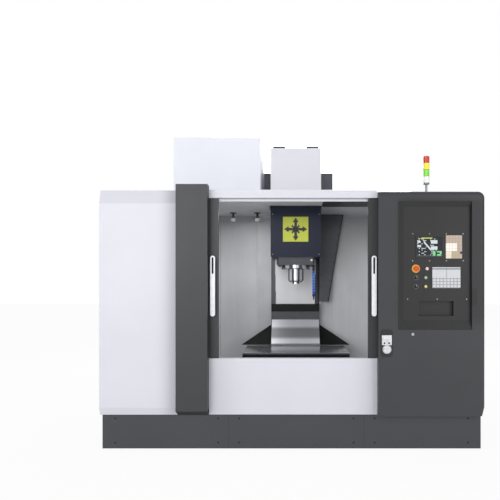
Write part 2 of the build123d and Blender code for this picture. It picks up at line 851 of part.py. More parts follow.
def build_covers():
    add("way_cover_top", cover_plate(0, carriage_bottom - cover_top_length, carriage_bottom))
    add("way_cover_middle", cover_plate(1, cover_middle_bottom, cover_middle_bottom + cover_middle_length))
    add("way_cover_low", cover_plate(2, cover_low_bottom, cover_low_bottom + cover_low_length))

    left = spindle_x - apron_half_width
    right = spindle_x + apron_half_width
    grey = block(left, right, apron_front, apron_front + sheet, apron_bottom, apron_split)
    black = block(left, right, apron_front - sheet, apron_front, apron_split, apron_top)
    cheeks = [block(x, x + sheet, apron_front + sheet, column_front, apron_bottom, apron_top)
              for x in (left, right - sheet)]
    black += block(left, right, apron_front, apron_front + sheet, apron_split, apron_top)
    add("column_guards", grey + black + cheeks[0] + cheeks[1])

    slope = [(slope_front, slope_bottom), (slope_front, slope_bottom - sheet),
             (apron_front + sheet, apron_bottom - sheet), (apron_front + sheet, apron_bottom),
             (apron_front, apron_bottom)]
    add("slope_cover", along_x(slope, spindle_x - slope_half_width, spindle_x + slope_half_width))

    guards = []
    for side in (-1, 1):
        edge = spindle_x + side * slope_half_width
        outer = spindle_x + side * (slope_half_width + guard_reach)
        inner_back = spindle_x + side * apron_half_width
        corners = [Vector(edge, slope_front, slope_bottom), Vector(outer, slope_front, slope_bottom),
                   Vector(inner_back, column_front, guard_top)]
        lower = [corner - Vector(0, 0, sheet) for corner in corners]
        faces = [Face(Wire.make_polygon(corners)), Face(Wire.make_polygon(lower))]
        for index in range(3):
            following = (index + 1) % 3
            faces.append(Face(Wire.make_polygon([corners[index], corners[following],
                                                 lower[following], lower[index]])))
        guard = Solid(Shell(faces))
        guards.append(guard)
    add("column_guards", *guards)

    edge = spindle_x + apron_half_width
    outline = [(edge, side_guard_bottom), (edge + side_guard_bottom_width, side_guard_bottom),
               (edge + side_guard_top_width, ceiling_height), (edge, ceiling_height)]
    guard_back = column_front - sheet
    guard = along_y(outline, side_guard_front, guard_back)
    inner = [(edge + sheet, side_guard_bottom + sheet),
             (edge + side_guard_bottom_width - sheet, side_guard_bottom + sheet),
             (edge + side_guard_top_width - 2 * sheet, ceiling_height),
             (edge + sheet, ceiling_height)]
    guard -= along_y(inner, side_guard_front + sheet, guard_back)
    add("column_guards", guard)


def bed_outline():
    """The space that the bed's wide back part and the column's foot take."""
    rear = block(spindle_x - bed_rear_half_width, spindle_x + bed_rear_half_width,
                 column_front - bed_wall, bed_back, 0, bed_rear_top)
    reach = column_half_width + column_foot_reach
    return rear + block(spindle_x - reach, spindle_x + reach, column_front + column_slot_depth, bed_back,
                        bed_rear_top, bed_rear_top + column_foot_height)


def build_walls():
    left = spindle_x - inner_half_width
    right = spindle_x + inner_half_width
    walls = [block(x, x + sheet, wall_front + sheet, column_front, inner_bottom, ceiling_height)
             for x in (left - sheet, right)]
    add("inner_walls", *walls)
    column_left = spindle_x - column_half_width
    column_right = spindle_x + column_half_width
    # The back walls close the space beside the column.
    back_walls = [block(left, column_left, column_front - sheet, column_front, inner_bottom, ceiling_height),
                  block(column_right, right, column_front - sheet, column_front,
                        inner_bottom, ceiling_height)]
    add("inner_walls", *[wall - bed_outline() for wall in back_walls])
    pockets = [block(left_opening_edge - leaf_width, left_opening_edge - sheet, track_front + sheet,
                     track_front + 2 * sheet, inner_bottom, header_bottom),
               block(right_opening_edge + sheet, right_opening_edge + leaf_width, track_front + sheet,
                     track_front + 2 * sheet, inner_bottom, header_bottom)]
    shelf = block(pillar_right, cabinet_left, 0, apron_shelf, inner_bottom, sill_height)
    add("inner_walls", *[pocket - shelf for pocket in pockets])
    hole_left = spindle_x - head_half_width - head_opening_clearance
    hole_right = spindle_x + head_half_width + head_opening_clearance
    hole_front = head_front - head_opening_clearance
    top = ceiling_height + sheet
    ceiling = [block(left - sheet, hole_left, header_back, column_front, ceiling_height, top),
               block(hole_right, right + sheet, header_back, column_front, ceiling_height, top),
               block(hole_left, hole_right, header_back, hole_front, ceiling_height, top)]
    add("inner_walls", *ceiling)
    for offset in fitting_offsets:
        head_top = ceiling_height - fitting_drop + fitting_head_length
        add("inner_walls", spun_z(spindle_x - offset, fitting_y, [
            (0, ceiling_height), (fitting_base_radius, ceiling_height),
            (fitting_base_radius, ceiling_height - 2 * sheet),
            (fitting_neck_radius, ceiling_height - 3 * sheet), (fitting_neck_radius, head_top),
            (fitting_head_radius * 0.7, head_top), (fitting_head_radius, ceiling_height - fitting_drop),
            (0, ceiling_height - fitting_drop)]))
    roof_low = enclosure_top - sheet
    roof_left = -half_width + sheet
    roof = [block(roof_left, hole_left, roof_set_back, enclosure_depth - sheet, roof_low, enclosure_top),
            block(hole_right, cabinet_left, roof_set_back, enclosure_depth - sheet, roof_low, enclosure_top),
            block(hole_left, hole_right, roof_set_back, hole_front, roof_low, enclosure_top)]
    column_hole = block(spindle_x - column_half_width, spindle_x + column_half_width,
                        column_front - z_way_proud, bed_back, roof_low, enclosure_top)
    front_strip = block(pillar_right, cabinet_left, roof_set_back, header_back, cabinet_top - roof_lap,
                        enclosure_top)
    roof[1] += block(cabinet_left - sheet, cabinet_left, roof_set_back, enclosure_depth - sheet,
                     cabinet_top - roof_lap, roof_low)
    add("roof", *[panel - column_hole - front_strip for panel in roof])
    floors = []
    for side, wall in ((-1, left), (1, right)):
        bed_side = spindle_x + side * bed_half_width
        floor_low = inner_bottom - chip_floor_drop
        outline = [(wall, inner_bottom + sheet), (wall, inner_bottom), (bed_side, floor_low),
                   (bed_side, floor_low + sheet)]
        floors.append(along_y(outline, header_back, column_front) - bed_outline())
    add("inner_walls", *floors)


def build_enclosure():
    # Plinth: a skirt of four walls
    outer = half_width - plinth_inset
    low = plinth_floor_gap
    back = enclosure_depth - plinth_inset
    plinth = block(-outer, outer, plinth_inset, back, low, plinth_top)
    plinth -= block(-outer + sheet, outer - sheet, plinth_inset + sheet, back - sheet, low, plinth_top)
    add("plinth", plinth - bed_outline())

    # Left housing: front sheet with its bevels, side sheet and back sheet
    side = -half_width
    bevel_low = enclosure_top - top_bevel_height
    bevel_high = plinth_top + bottom_bevel_height
    face = housing_face
    foot = face + bottom_bevel_depth
    crown = face + top_bevel_depth
    front = [(face, bevel_high), (face, bevel_low), (crown, enclosure_top), (crown + sheet, enclosure_top),
             (face + sheet, bevel_low), (face + sheet, bevel_high), (foot + sheet, plinth_top),
             (foot, plinth_top)]
    front_sheet = along_x(front, side, pillar_left)
    side_outline = [(face + sheet, bevel_high), (face + sheet, bevel_low), (crown + sheet, enclosure_top),
                    (enclosure_depth, enclosure_top), (enclosure_depth, plinth_top),
                    (foot + sheet, plinth_top)]
    side_sheet = along_x(side_outline, side, side + sheet)
    back_sheet = block(side + sheet, spindle_x - column_half_width, enclosure_depth - sheet,
                       enclosure_depth, plinth_top, enclosure_top - sheet)
    back_sheet -= bed_outline()
    add("left_housing", front_sheet, side_sheet, back_sheet)

    # Pillar: folded sheet, its foot drawn back onto the plinth
    pillar_top = enclosure_top + pillar_rise
    pillar_low = plinth_top + pillar_chamfer
    inner_face = -pillar_proud + sheet
    lip_low = plinth_top - 2 * sheet
    profile = [(-pillar_proud, pillar_low), (-pillar_proud, pillar_top), (inner_face, pillar_top),
               (inner_face, pillar_low), (plinth_inset, plinth_top), (plinth_inset, lip_low),
               (plinth_inset - sheet, lip_low)]
    face = along_x(profile, pillar_left, pillar_right)
    cheeks = [block(x, x + sheet, inner_face, leaf_front - slide_gap, pillar_low, pillar_top)
              for x in (pillar_left, pillar_right - sheet)]
    cap = block(pillar_left, pillar_right, inner_face, roof_set_back, pillar_top - sheet, pillar_top)
    back_plate = block(pillar_left, pillar_right, roof_set_back - sheet, roof_set_back, header_top,
                       pillar_top - sheet)
    add("front_pillar", face + cheeks[0] + cheeks[1] + cap + back_plate)

    # Header: front flange and top flange over the track
    flange_low = header_bottom + leaf_overlap + header_flange_gap
    track_top = header_bottom + track_height
    flange = header_back - sheet
    lap_low = track_top - track_lap
    header = [(0, flange_low), (0, header_top), (header_back, header_top), (header_back, lap_low),
              (flange, lap_low), (flange, header_top - sheet), (sheet, header_top - sheet),
              (sheet, flange_low)]
    add("header", along_x(header, pillar_right, cabinet_left))
    track = [(wall_front, header_bottom), (wall_front + sheet, header_bottom),
             (wall_front + sheet, track_top),
             (wall_front, track_top), (wall_front, header_bottom + leaf_overlap),
             (track_front, header_bottom + leaf_overlap), (track_front, header_bottom + 2),
             (wall_front, header_bottom + 2)]
    add("header", along_x(track, left_opening_edge - leaf_width, right_opening_edge + leaf_width))

    # Lower apron with the sill that the doors stand over
    apron = [(0, plinth_top), (0, sill_height), (apron_shelf, sill_height),
             (apron_shelf, sill_height - apron_lip), (apron_shelf - sheet, sill_height - apron_lip),
             (apron_shelf - sheet, sill_height - sheet), (sheet, sill_height - sheet), (sheet, plinth_top)]
    add("front_apron", along_x(apron, pillar_right, cabinet_left))


def door(side):
    """A leaf, its window and its handle. side is -1 for the left door and 1 for the right."""
    inner = door_centre + side * opening_half
    outer = inner + side * leaf_width
    low = sill_height + slide_gap
    high = header_bottom + leaf_overlap
    x0, x1 = min(inner, outer), max(inner, outer)
    leaf = block(x0, x1, leaf_front, leaf_back, low, high)
    window_inner = inner + side * stile_width
    window_outer = outer - side * leaf_border
    w0, w1 = min(window_inner, window_outer), max(window_inner, window_outer)
    leaf -= block(w0, w1, leaf_front, leaf_back, low + leaf_border, high - leaf_border)
    glass_front = leaf_front + window_rebate
    rebate = block(w0 - window_rebate, w1 + window_rebate, glass_front, glass_front + window_thickness,
                   low + leaf_border - window_rebate, high - leaf_border + window_rebate)
    leaf -= rebate
    window = rebate
    middle = inner + side * stile_width / 2
    top = handle_bottom + handle_length
    radius = handle_width / 2
    bar_back = leaf_front - handle_standoff
    bar_front = bar_back - handle_thickness
    bar = block(middle - radius, middle + radius, bar_front, bar_back, handle_bottom + radius, top - radius)
    bar += rod_y(middle, bar_front, bar_back, handle_bottom + radius, radius)
    bar += rod_y(middle, bar_front, bar_back, top - radius, radius)
    slot_half = handle_slot_width / 2
    slot_high = top - radius
    slot_low = slot_high - handle_slot_length + slot_half
    floor = bar_front + handle_slot_depth
    slot = block(middle - slot_half, middle + slot_half, bar_front, floor, slot_low, slot_high)
    slot += rod_y(middle, bar_front, floor, slot_low, slot_half)
    slot += rod_y(middle, bar_front, floor, slot_high, slot_half)
    bar -= slot
    for level in (handle_bottom + 2 * radius, top - 2 * radius):
        bar += rod_y(middle, bar_back, leaf_front, level, handle_post_radius)
    return leaf, window, bar


def build_doors():
    for name, side in (("left", -1), ("right", 1)):
        leaf, window, bar = door(side)
        add(name + "_door", leaf)
        add(name + "_window", window)
        add(name + "_handle", bar)


def cabinet_outline(inset):
    """The right cabinet's outline seen from the front, drawn in by an inset."""
    left = cabinet_left + inset
    right = half_width - inset
    top = cabinet_top - inset
    low = plinth_top + inset
    radius = cabinet_corner_radius - inset
    step = cabinet_foot_step
    line_top = Line((left, top), (right - radius, top))
    corner = CenterArc((right - radius, top - radius), radius, 90, -90)
    line_side = Line((right, top - radius), (right, low + cabinet_foot_height))
    line_foot = Line((right, low + cabinet_foot_height), (right - step, low))
    line_low = Line((right - step, low), (left, low))
    line_left = Line((left, low), (left, top))
    edges = line_top.edges() + corner.edges() + line_side.edges() + line_foot.edges()
    edges = edges + line_low.edges() + line_left.edges()
    return make_face(edges)


def cabinet_body(inset, y0, y1):
    """The cabinet's outline stood upright and extruded from y0 to y1."""
    face = Pos(0, y0, 0) * Rot(90, 0, 0) * cabinet_outline(inset)
    return extrude(face, amount=y1 - y0, dir=(0, 1, 0))


def rounded_front(inset, y0, y1):
    """The cabinet's front end, rounded at its top, its right side and the corner between them."""
    body = cabinet_body(inset, y0, y1)
    rim = [edge for edge in body.faces().sort_by(Axis.Y)[0].edges()
           if edge.center().X > cabinet_left + inset + 1 and edge.center().Z > plinth_top + inset + 1]
    return fillet(rim, cabinet_edge_radius - inset - 0.01)


def build_cabinet():
    face_back = -cabinet_proud + sheet
    front_end = -cabinet_proud + cabinet_edge_radius
    front = rounded_front(0, -cabinet_proud, front_end) - rounded_front(sheet, face_back, front_end)
    cut_out = block(recess_left, recess_right, -cabinet_proud, face_back, recess_bottom, recess_top)
    front -= cut_out
    front -= rod_y(lock_x, -cabinet_proud, face_back, lock_z, stem_radius + stem_clearance)
    back_face = enclosure_depth - sheet
    wrap = cabinet_body(0, front_end, back_face) - cabinet_body(sheet, front_end, back_face)
    # Behind the door plane the wrap has no left wall and no floor.
    wrap -= block(cabinet_left - sheet, cabinet_left + sheet, leaf_front - slide_gap, back_face,
                  plinth_top, cabinet_top - sheet)
    wrap -= block(cabinet_left - sheet, half_width - cabinet_foot_step - sheet, plinth_inset + sheet,
                  back_face, plinth_top, plinth_top + sheet)
    # Three sheets meet at the bends: a flat top, a rolled corner, and the side with its foot.
    bend_x = half_width - cabinet_corner_radius
    bend_z = cabinet_top - cabinet_corner_radius
    top_sheet = wrap & block(cabinet_left, bend_x, front_end, back_face, cabinet_top - sheet, cabinet_top)
    corner_sheet = wrap & block(bend_x, half_width, front_end, back_face, bend_z, cabinet_top)
    side_sheet = wrap - top_sheet - corner_sheet
    # The back sheet ends at the column's flank, on whichever side of the cabinet's left wall that stands.
    back = cabinet_body(0, back_face, enclosure_depth)
    flank = spindle_x + column_half_width
    if flank < cabinet_left:
        back += block(flank, cabinet_left, back_face, enclosure_depth, plinth_top, enclosure_top - sheet)
    else:
        back -= block(cabinet_left - sheet, flank, back_face, enclosure_depth, plinth_top, enclosure_top)
    back -= bed_outline()
    add("right_cabinet", front, top_sheet, corner_sheet, side_sheet, back)

    # Operator panel: a dished sheet behind the cut-out
    outer = [(recess_left - sheet, recess_bottom - sheet), (recess_right + sheet, recess_top + sheet)]
    inner = [(recess_left + recess_slope_left, recess_bottom + recess_slope_bottom),
             (recess_right - recess_slope_right, recess_top - recess_slope_top)]

    def rectangle(low, high, y):
        (x0, z0), (x1, z1) = low, high
        return Face(Wire.make_polygon([Vector(x0, y, z0), Vector(x1, y, z0), Vector(x1, y, z1),
                                       Vector(x0, y, z1)]))

    low_out, high_out = outer
    low_in, high_in = inner
    deep = panel_face + sheet
    shell = loft([rectangle(low_out, high_out, face_back),
                  rectangle((low_in[0] - sheet, low_in[1] - sheet),
                            (high_in[0] + sheet, high_in[1] + sheet), deep)])
    cavity = loft([rectangle((recess_left, recess_bottom), (recess_right, recess_top), face_back),
                   rectangle(low_in, high_in, panel_face)])
    panel = shell - cavity
    for hole_x, hole_z in switch_places():
        panel -= rod_y(hole_x, panel_face, deep, hole_z, stem_radius + stem_clearance)
    # Recessed tray
    panel -= block(tray_left, tray_right, panel_face, deep, tray_bottom, tray_top)
    tray_back = panel_face + tray_depth
    tray = block(tray_left - sheet, tray_right + sheet, deep, tray_back + sheet,
                 tray_bottom - sheet, tray_top + sheet)
    tray -= block(tray_left, tray_right, deep, tray_back, tray_bottom, tray_top)
    add("operator_panel", panel + tray)
    build_controls()

    slot_front = -cabinet_proud - side_slot_proud
    slot = block(side_slot_x - side_slot_width / 2, side_slot_x + side_slot_width / 2, slot_front,
                 -cabinet_proud, side_slot_z - side_slot_height / 2, side_slot_z + side_slot_height / 2)
    grip = block(side_slot_x - side_slot_width / 4, side_slot_x + side_slot_width / 4, slot_front,
                 slot_front + side_slot_proud * 0.6, side_slot_z - side_slot_height / 3,
                 side_slot_z + side_slot_height / 3)
    add("right_cabinet", slot - grip)

    backing_front = -cabinet_proud - outlet_backing_thickness
    half = outlet_backing_width / 2
    backing = block(outlet_x - half, outlet_x + half, backing_front, -cabinet_proud,
                    outlet_backing_bottom, outlet_backing_top)
    backing = chamfer(backing.edges().filter_by(Axis.Y), 18)
    add("right_cabinet", backing)
    plate_front = backing_front - outlet_plate_thickness
    plate = block(outlet_x - outlet_plate_width / 2, outlet_x + outlet_plate_width / 2, plate_front,
                  backing_front, outlet_plate_bottom, outlet_plate_bottom + outlet_plate_height)
    for sign in (-1, 1):
        plate -= rod_y(outlet_x + sign * outlet_hole_spacing / 2, plate_front, backing_front,
                       outlet_plate_bottom + 18, outlet_hole_radius)
    bowl_front = backing_front - outlet_bowl_depth
    bowl = spun_y(outlet_x, outlet_bowl_z, [
        (0, backing_front), (outlet_bowl_radius, backing_front), (outlet_bowl_radius, bowl_front + 8),
        (outlet_bowl_radius - 8, bowl_front), (12, bowl_front), (9, bowl_front + 10), (0, bowl_front + 10)])
    add("air_outlet", plate + bowl)


def switch_places():
    """Where the operated switches pass through the panel."""
    places = [(switch_column_x, switch_top_z - row * switch_pitch) for row in range(3)]
    places += [(button_column_x, switch_top_z - row * switch_pitch) for row in (1, 2)]
    return places


def collar(x, z, radius, height):
    """A ring on the panel round a switch's stem."""
    front = panel_face - height
    hole = rod_y(x, front, panel_face, z, stem_radius + stem_clearance)
    return rod_y(x, front, panel_face, z, radius) - hole


def build_controls():
    face = panel_face
    # Screen in its bezel
    half_w, half_h = screen_width / 2, screen_height / 2
    bezel = block(screen_x - half_w - screen_bezel, screen_x + half_w + screen_bezel,
                  face - screen_proud, face, screen_z - half_h - screen_bezel, screen_z + half_h + screen_bezel)
    glass = block(screen_x - half_w, screen_x + half_w, face - screen_proud + 1, face - screen_proud + 3,
                  screen_z - half_h, screen_z + half_h)
    bezel -= block(screen_x - half_w, screen_x + half_w, face - screen_proud, face - screen_proud + 3,
                   screen_z - half_h, screen_z + half_h)
    add("operator_panel", bezel)
    add("screen", glass)

    def key_plate(x, z, width, height, columns, rows):
        plate = block(x - width / 2, x + width / 2, face - plate_proud, face, z - height / 2, z + height / 2)
        pitch_x = (width - key_gap) / columns
        pitch_z = (height - key_gap) / rows
        for column in range(columns):
            for row in range(rows):
                left = x - width / 2 + key_gap + column * pitch_x
                low = z - height / 2 + key_gap + row * pitch_z
                plate += block(left, left + pitch_x - key_gap, face - plate_proud - key_proud,
                               face - plate_proud, low, low + pitch_z - key_gap)
        return plate

    add("keypad", key_plate(keypad_x, screen_z, keypad_width, keypad_height, keypad_columns, keypad_rows))
    add("key_panel", key_plate(key_panel_x, key_panel_z, key_panel_width, key_panel_height,
                               key_panel_columns, key_panel_rows))

    places = switch_places()
    stop_x, stop_z = places[0]
    rings = [collar(stop_x, stop_z, stop_ring_radius, stop_ring_height)]
    add("switch_collars", rings[0])
    collars = [collar(x, z, knob_collar_radius, knob_collar_height) for x, z in places[1:3]]
    collars += [collar(x, z, button_collar_radius, button_collar_height) for x, z in places[3:]]
    add("switch_collars", *collars)
    back = face + stem_length
    neck_front = face - stop_ring_height - stop_travel - press_clearance
    dome_back = neck_front
    dome_front = face - stop_height
    add("stop_button", spun_y(stop_x, stop_z, [
        (0, back), (stem_radius, back), (stem_radius, dome_back), (stop_radius * 0.75, dome_back),
        (stop_radius, dome_back - 7), (stop_radius, dome_front + 8), (stop_radius - 9, dome_front),
        (0, dome_front)]))
    for name, (x, z) in zip(("selector_upper", "selector_lower"), places[1:3]):
        seat = face - knob_collar_height - slide_gap
        knob = spun_y(x, z, [(0, back), (stem_radius, back), (stem_radius, seat), (knob_radius, seat),
                             (knob_radius - 2, seat - knob_height * 0.45), (0, seat - knob_height * 0.45)])
        knob += block(x - knob_bar_width / 2, x + knob_bar_width / 2, seat - knob_height,
                      seat - knob_height * 0.4, z - knob_radius + 3, z + knob_radius - 3)
        add(name, knob)
    for name, (x, z) in zip(("start_button", "hold_button"), places[3:]):
        cap_back = face - button_collar_height - button_travel - press_clearance
        cap_front = cap_back - button_height + button_travel
        add(name, spun_y(x, z, [
            (0, back), (stem_radius, back), (stem_radius, cap_back), (button_radius, cap_back),
            (button_radius, cap_front + 2), (button_radius - 3, cap_front), (0, cap_front)]))
    lamp_z = places[0][1]
    lamp_x = button_column_x + 14
    add("power_lamp", spun_y(lamp_x, lamp_z, [
        (0, face), (lamp_radius + 4, face), (lamp_radius + 4, face - 3), (lamp_radius, face - 3),
        (lamp_radius - 3, face - 9), (0, face - 10)]))
    lock_back = -cabinet_proud + stem_length
    lock_seat = -cabinet_proud - slide_gap
    lock = spun_y(lock_x, lock_z, [(0, lock_back), (stem_radius, lock_back), (stem_radius, lock_seat),
                                   (lock_radius, lock_seat), (lock_radius - 2, lock_seat - lock_height),
                                   (0, lock_seat - lock_height)])
    lock -= block(lock_x - 2, lock_x + 2, lock_seat - lock_height, lock_seat - lock_height + 4,
                  lock_z - lock_radius / 2, lock_z + lock_radius / 2)
    add("panel_lock", lock)


def build_magazine():
    left, right = magazine_left, magazine_right
    front, back = magazine_front, magazine_back
    low, high = enclosure_top, magazine_top
    panels = [block(left, right, front, front + sheet, low, high),
              block(left, right, back - sheet, back, low, high),
              block(left, left + sheet, front + sheet, back - sheet, low, high),
              block(right - sheet, right, front + sheet, back - sheet, low, high),
              block(left + sheet, right - sheet, front + sheet, back - sheet, high - sheet, high)]
    add("magazine_cover", *panels)

    y, z = magazine_middle_y, magazine_middle_z
    plate_x = magazine_disc_x - stand_disc_gap
    stand = block(plate_x - stand_thickness, plate_x, y - stand_half_width, y + stand_half_width,
                  enclosure_top, z + stand_half_width)
    stand += block(plate_x - stand_foot_length, plate_x, y - stand_foot_half, y + stand_foot_half,
                   enclosure_top, enclosure_top + stand_foot_height)
    disc_left = magazine_disc_x - magazine_disc_thickness / 2
    disc_right = magazine_disc_x + magazine_disc_thickness / 2
    stand += rod_x(plate_x, disc_left - slide_gap, y, z, magazine_bore_radius + 25)
    stand += rod_x(plate_x, disc_right + 20, y, z, magazine_bore_radius - magazine_pin_clearance)
    add("magazine_stand", stand)
    disc = rod_x(disc_left, disc_right, y, z, magazine_disc_radius)
    disc -= rod_x(disc_left, disc_right, y, z, magazine_bore_radius)
    pots = []
    for index in range(pot_count):
        angle = 2 * pi * index / pot_count
        pot_y = y + magazine_pitch_radius * cos(angle)
        pot_z = z + magazine_pitch_radius * sin(angle)
        pots.append(rod_x(disc_right, disc_right + pot_length, pot_y, pot_z, pot_radius)
                    - rod_x(disc_right + 20, disc_right + pot_length, pot_y, pot_z, pot_bore_radius))
    window_count = 6
    for index in range(window_count):
        angle = 2 * pi * (index + 0.5) / window_count
        radius = (magazine_bore_radius + magazine_pitch_radius) / 2
        disc -= rod_x(disc_left, disc_right, y + radius * cos(angle), z + radius * sin(angle), 48)
    add("magazine_disc", disc)
    add("magazine_disc", *pots)


def build_tower():
    base = spun_z(tower_x, tower_y, [
        (0, cabinet_top), (tower_base_radius, cabinet_top), (tower_base_radius, cabinet_top + 8),
        (tower_pole_radius + 6, cabinet_top + 24), (tower_pole_radius, cabinet_top + 24),
        (tower_pole_radius, tower_lamp_bottom - 12), (tower_lamp_radius, tower_lamp_bottom - 12),
        (tower_lamp_radius, tower_lamp_bottom), (0, tower_lamp_bottom)])
    add("tower_pole", base)
    low = tower_lamp_bottom
    for colour in ("white", "green", "yellow", "red"):
        top = low + tower_lamp_height
        points = [(0, low), (tower_lamp_radius, low), (tower_lamp_radius, top - 3),
                  (tower_lamp_radius - 2, top), (0, top)]
        add("tower_lamps", spun_z(tower_x, tower_y, points))
        low = top


def build_back():
    left, right = electric_left, electric_right
    front, back = enclosure_depth, electric_back
    low, high = electric_bottom, electric_bottom + electric_height
    panels = [block(left, right, front, front + sheet, low, high),
              block(left, left + sheet, front + sheet, back, low, high),
              block(right - sheet, right, front + sheet, back, low, high),
              block(left + sheet, right - sheet, front + sheet, back, low, low + sheet),
              block(left + sheet, right - sheet, front + sheet, back, high - sheet, high)]
    add("electric_cabinet", *panels)
    modules = []
    rows = 3
    columns = 4
    for row in range(rows):
        for column in range(columns):
            x = left + module_side_margin + column * (electric_width - 2 * module_side_margin) / columns
            z = low + module_end_margin + row * (electric_height - 2 * module_end_margin) / rows
            modules.append(block(x, x + module_width, front + sheet, front + sheet + module_depth,
                                 z, z + module_height))
    add("drive_modules", *modules)

    door_front = back + electric_door_gap
    door_back = door_front + electric_door_thickness
    hinge_y = door_back + hinge_radius
    hinge_x = right
    plate = block(left, right - 2 * hinge_radius, door_front, door_back, low, high)
    hole = hinge_radius * 0.5 + hinge_clearance
    for level in (low + electric_height * 0.15, low + electric_height * 0.85):
        knuckle = rod_z(hinge_x, hinge_y, level, level + hinge_length, hinge_radius)
        knuckle += block(hinge_x - 3 * hinge_radius, hinge_x, door_back, door_back + 4,
                         level, level + hinge_length)
        knuckle -= rod_z(hinge_x, hinge_y, level, level + hinge_length, hole)
        plate += knuckle
    louvre_middle = (left + right) / 2
    group_height = (louvre_count - 1) * louvre_pitch + louvre_height
    for start in (low + louvre_end_margin, high - louvre_end_margin - group_height):
        for index in range(louvre_count):
            foot = start + index * louvre_pitch
            hood = [(door_back, foot), (door_back + louvre_proud, foot), (door_back, foot + louvre_height)]
            plate += along_x(hood, louvre_middle - louvre_length / 2, louvre_middle + louvre_length / 2)
    handle_x = left + electric_handle_margin
    handle_z = low + electric_height / 2
    thick = electric_handle_width / 2
    grip_back = door_back + electric_handle_proud
    grip = block(handle_x - thick, handle_x + thick, grip_back - electric_handle_width / 2, grip_back,
                 handle_z - electric_handle_half, handle_z + electric_handle_half)
    for side in (-1, 1):
        middle = handle_z + side * (electric_handle_half - electric_handle_width)
        grip += block(handle_x - thick, handle_x + thick, door_back, grip_back,
                      middle - thick, middle + thick)
    add("electric_door", plate + grip)
    pins = []
    for level in (low + electric_height * 0.15, low + electric_height * 0.85):
        pin = rod_z(hinge_x, hinge_y, level - 24, level + hinge_length + 24, hinge_radius * 0.5)
        for end, step in ((level - slide_gap, -24), (level + hinge_length + slide_gap, 24)):
            z0, z1 = min(end, end + step), max(end, end + step)
            pin += rod_z(hinge_x, hinge_y, z0, z1, hinge_radius)
            pin += block(hinge_x, hinge_x + 4, back - 30, hinge_y, z0, z1)
        pins.append(pin)
    add("electric_cabinet", *pins)

    x0, x1 = tank_left, tank_left + tank_width
    y0 = tank_front
    y1 = y0 + tank_depth
    tank = block(x0, x1, y0, y1, tank_foot_height, tank_height)
    tank -= block(x0 + sheet, x1 - sheet, y0 + sheet, y1 - sheet, tank_foot_height + sheet, tank_height)
    for foot_y in (y0 + tank_foot_width, y1 - 2 * tank_foot_width):
        tank += block(x0 + tank_foot_width, x1 - tank_foot_width, foot_y, foot_y + tank_foot_width,
                      0, tank_foot_height)
    lid = block(x0, x0 + tank_width * 0.6, y0, y1, tank_height, tank_height + sheet)
    add("coolant_tank", tank)
    add("coolant_tank", lid)
    pump_x = x0 + tank_width * 0.3
    pump_y = (y0 + y1) / 2
    add("coolant_pump", spun_z(pump_x, pump_y, [
        (0, tank_height + sheet), (pump_radius, tank_height + sheet), (pump_radius, tank_height + 20),
        (pump_radius * 0.75, tank_height + 20), (pump_radius * 0.75, tank_height + pump_height - 20),
        (pump_radius * 0.5, tank_height + pump_height), (0, tank_height + pump_height)]))


build_bed()
build_column()
build_screws()
build_saddle()
build_table()
build_head()
build_covers()
build_walls()
build_enclosure()
build_doors()
build_cabinet()
build_magazine()
build_tower()
build_back()

os.makedirs("parts", exist_ok=True)
for name, solids in nodes.items():
    placed = [Pos(0, -origin_y, 0) * solid for solid in solids]
    if len(placed) == 1:
        export_step(placed[0], "parts/" + name + ".step")
    else:
        export_step(Compound(children=placed), "parts/" + name + ".step")
print(len(nodes), "nodes")
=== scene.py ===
"""Looks of a vertical machining center: enclosure paint, brushed covers, glass, switches, screws and seals.

Metres, +Z up, the front faces -Y. Depths are counted in millimetres from the plane of the header's front.
"""
from math import cos, pi, sin

import bmesh
import bpy
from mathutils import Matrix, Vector


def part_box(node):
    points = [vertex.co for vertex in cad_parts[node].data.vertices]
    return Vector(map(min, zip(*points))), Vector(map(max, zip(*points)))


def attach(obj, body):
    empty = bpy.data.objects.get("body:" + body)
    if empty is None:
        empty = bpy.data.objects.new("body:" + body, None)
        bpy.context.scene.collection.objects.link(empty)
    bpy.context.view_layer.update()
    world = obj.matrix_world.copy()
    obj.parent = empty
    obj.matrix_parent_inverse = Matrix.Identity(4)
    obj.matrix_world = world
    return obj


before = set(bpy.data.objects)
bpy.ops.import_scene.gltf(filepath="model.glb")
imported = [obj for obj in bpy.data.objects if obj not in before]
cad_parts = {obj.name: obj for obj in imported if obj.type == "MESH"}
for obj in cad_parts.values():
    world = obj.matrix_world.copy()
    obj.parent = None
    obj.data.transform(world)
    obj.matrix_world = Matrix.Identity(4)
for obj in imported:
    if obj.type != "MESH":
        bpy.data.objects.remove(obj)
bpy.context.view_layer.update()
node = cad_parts
front_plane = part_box("header")[0][1]


def at(x, depth, z):
    """A point given in millimetres, with its depth behind the header's front."""
    return Vector((x / 1000, front_plane + depth / 1000, z / 1000))


def span(name):
    """A CAD node's limits in x, depth and z, in millimetres."""
    low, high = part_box(name)
    return ((low[0] * 1000, high[0] * 1000),
            ((low[1] - front_plane) * 1000, (high[1] - front_plane) * 1000),
            (low[2] * 1000, high[2] * 1000))


def corners_of(wide, deep, tall):
    """The low and the high corner of limits in x, depth and z, in millimetres."""
    return [at(*corner) for corner in zip(wide, deep, tall)]


def halfway(limits):
    """The middle between two limits."""
    return (limits[0] + limits[1]) / 2


def tint(red, green, blue):
    """A screen colour of 0 to 255 as a linear one."""
    def linear(level):
        level /= 255
        return level / 12.92 if level <= 0.04045 else ((level + 0.055) / 1.055) ** 2.4
    return (linear(red), linear(green), linear(blue), 1.0)


def shaded(colour, share):
    """A colour with its levels times share."""
    return [level * share for level in colour[:3]] + [1.0]


# Shader maths


def operator(name, swapped=False):
    """A method that works out a sum of a field and perhaps another, or a number."""
    def work_out(self, other=0.0):
        first, second = (other, self) if swapped else (self, other)
        return self.nodes.node("ShaderNodeMath", {"operation": name}, {0: first, 1: second})
    return work_out


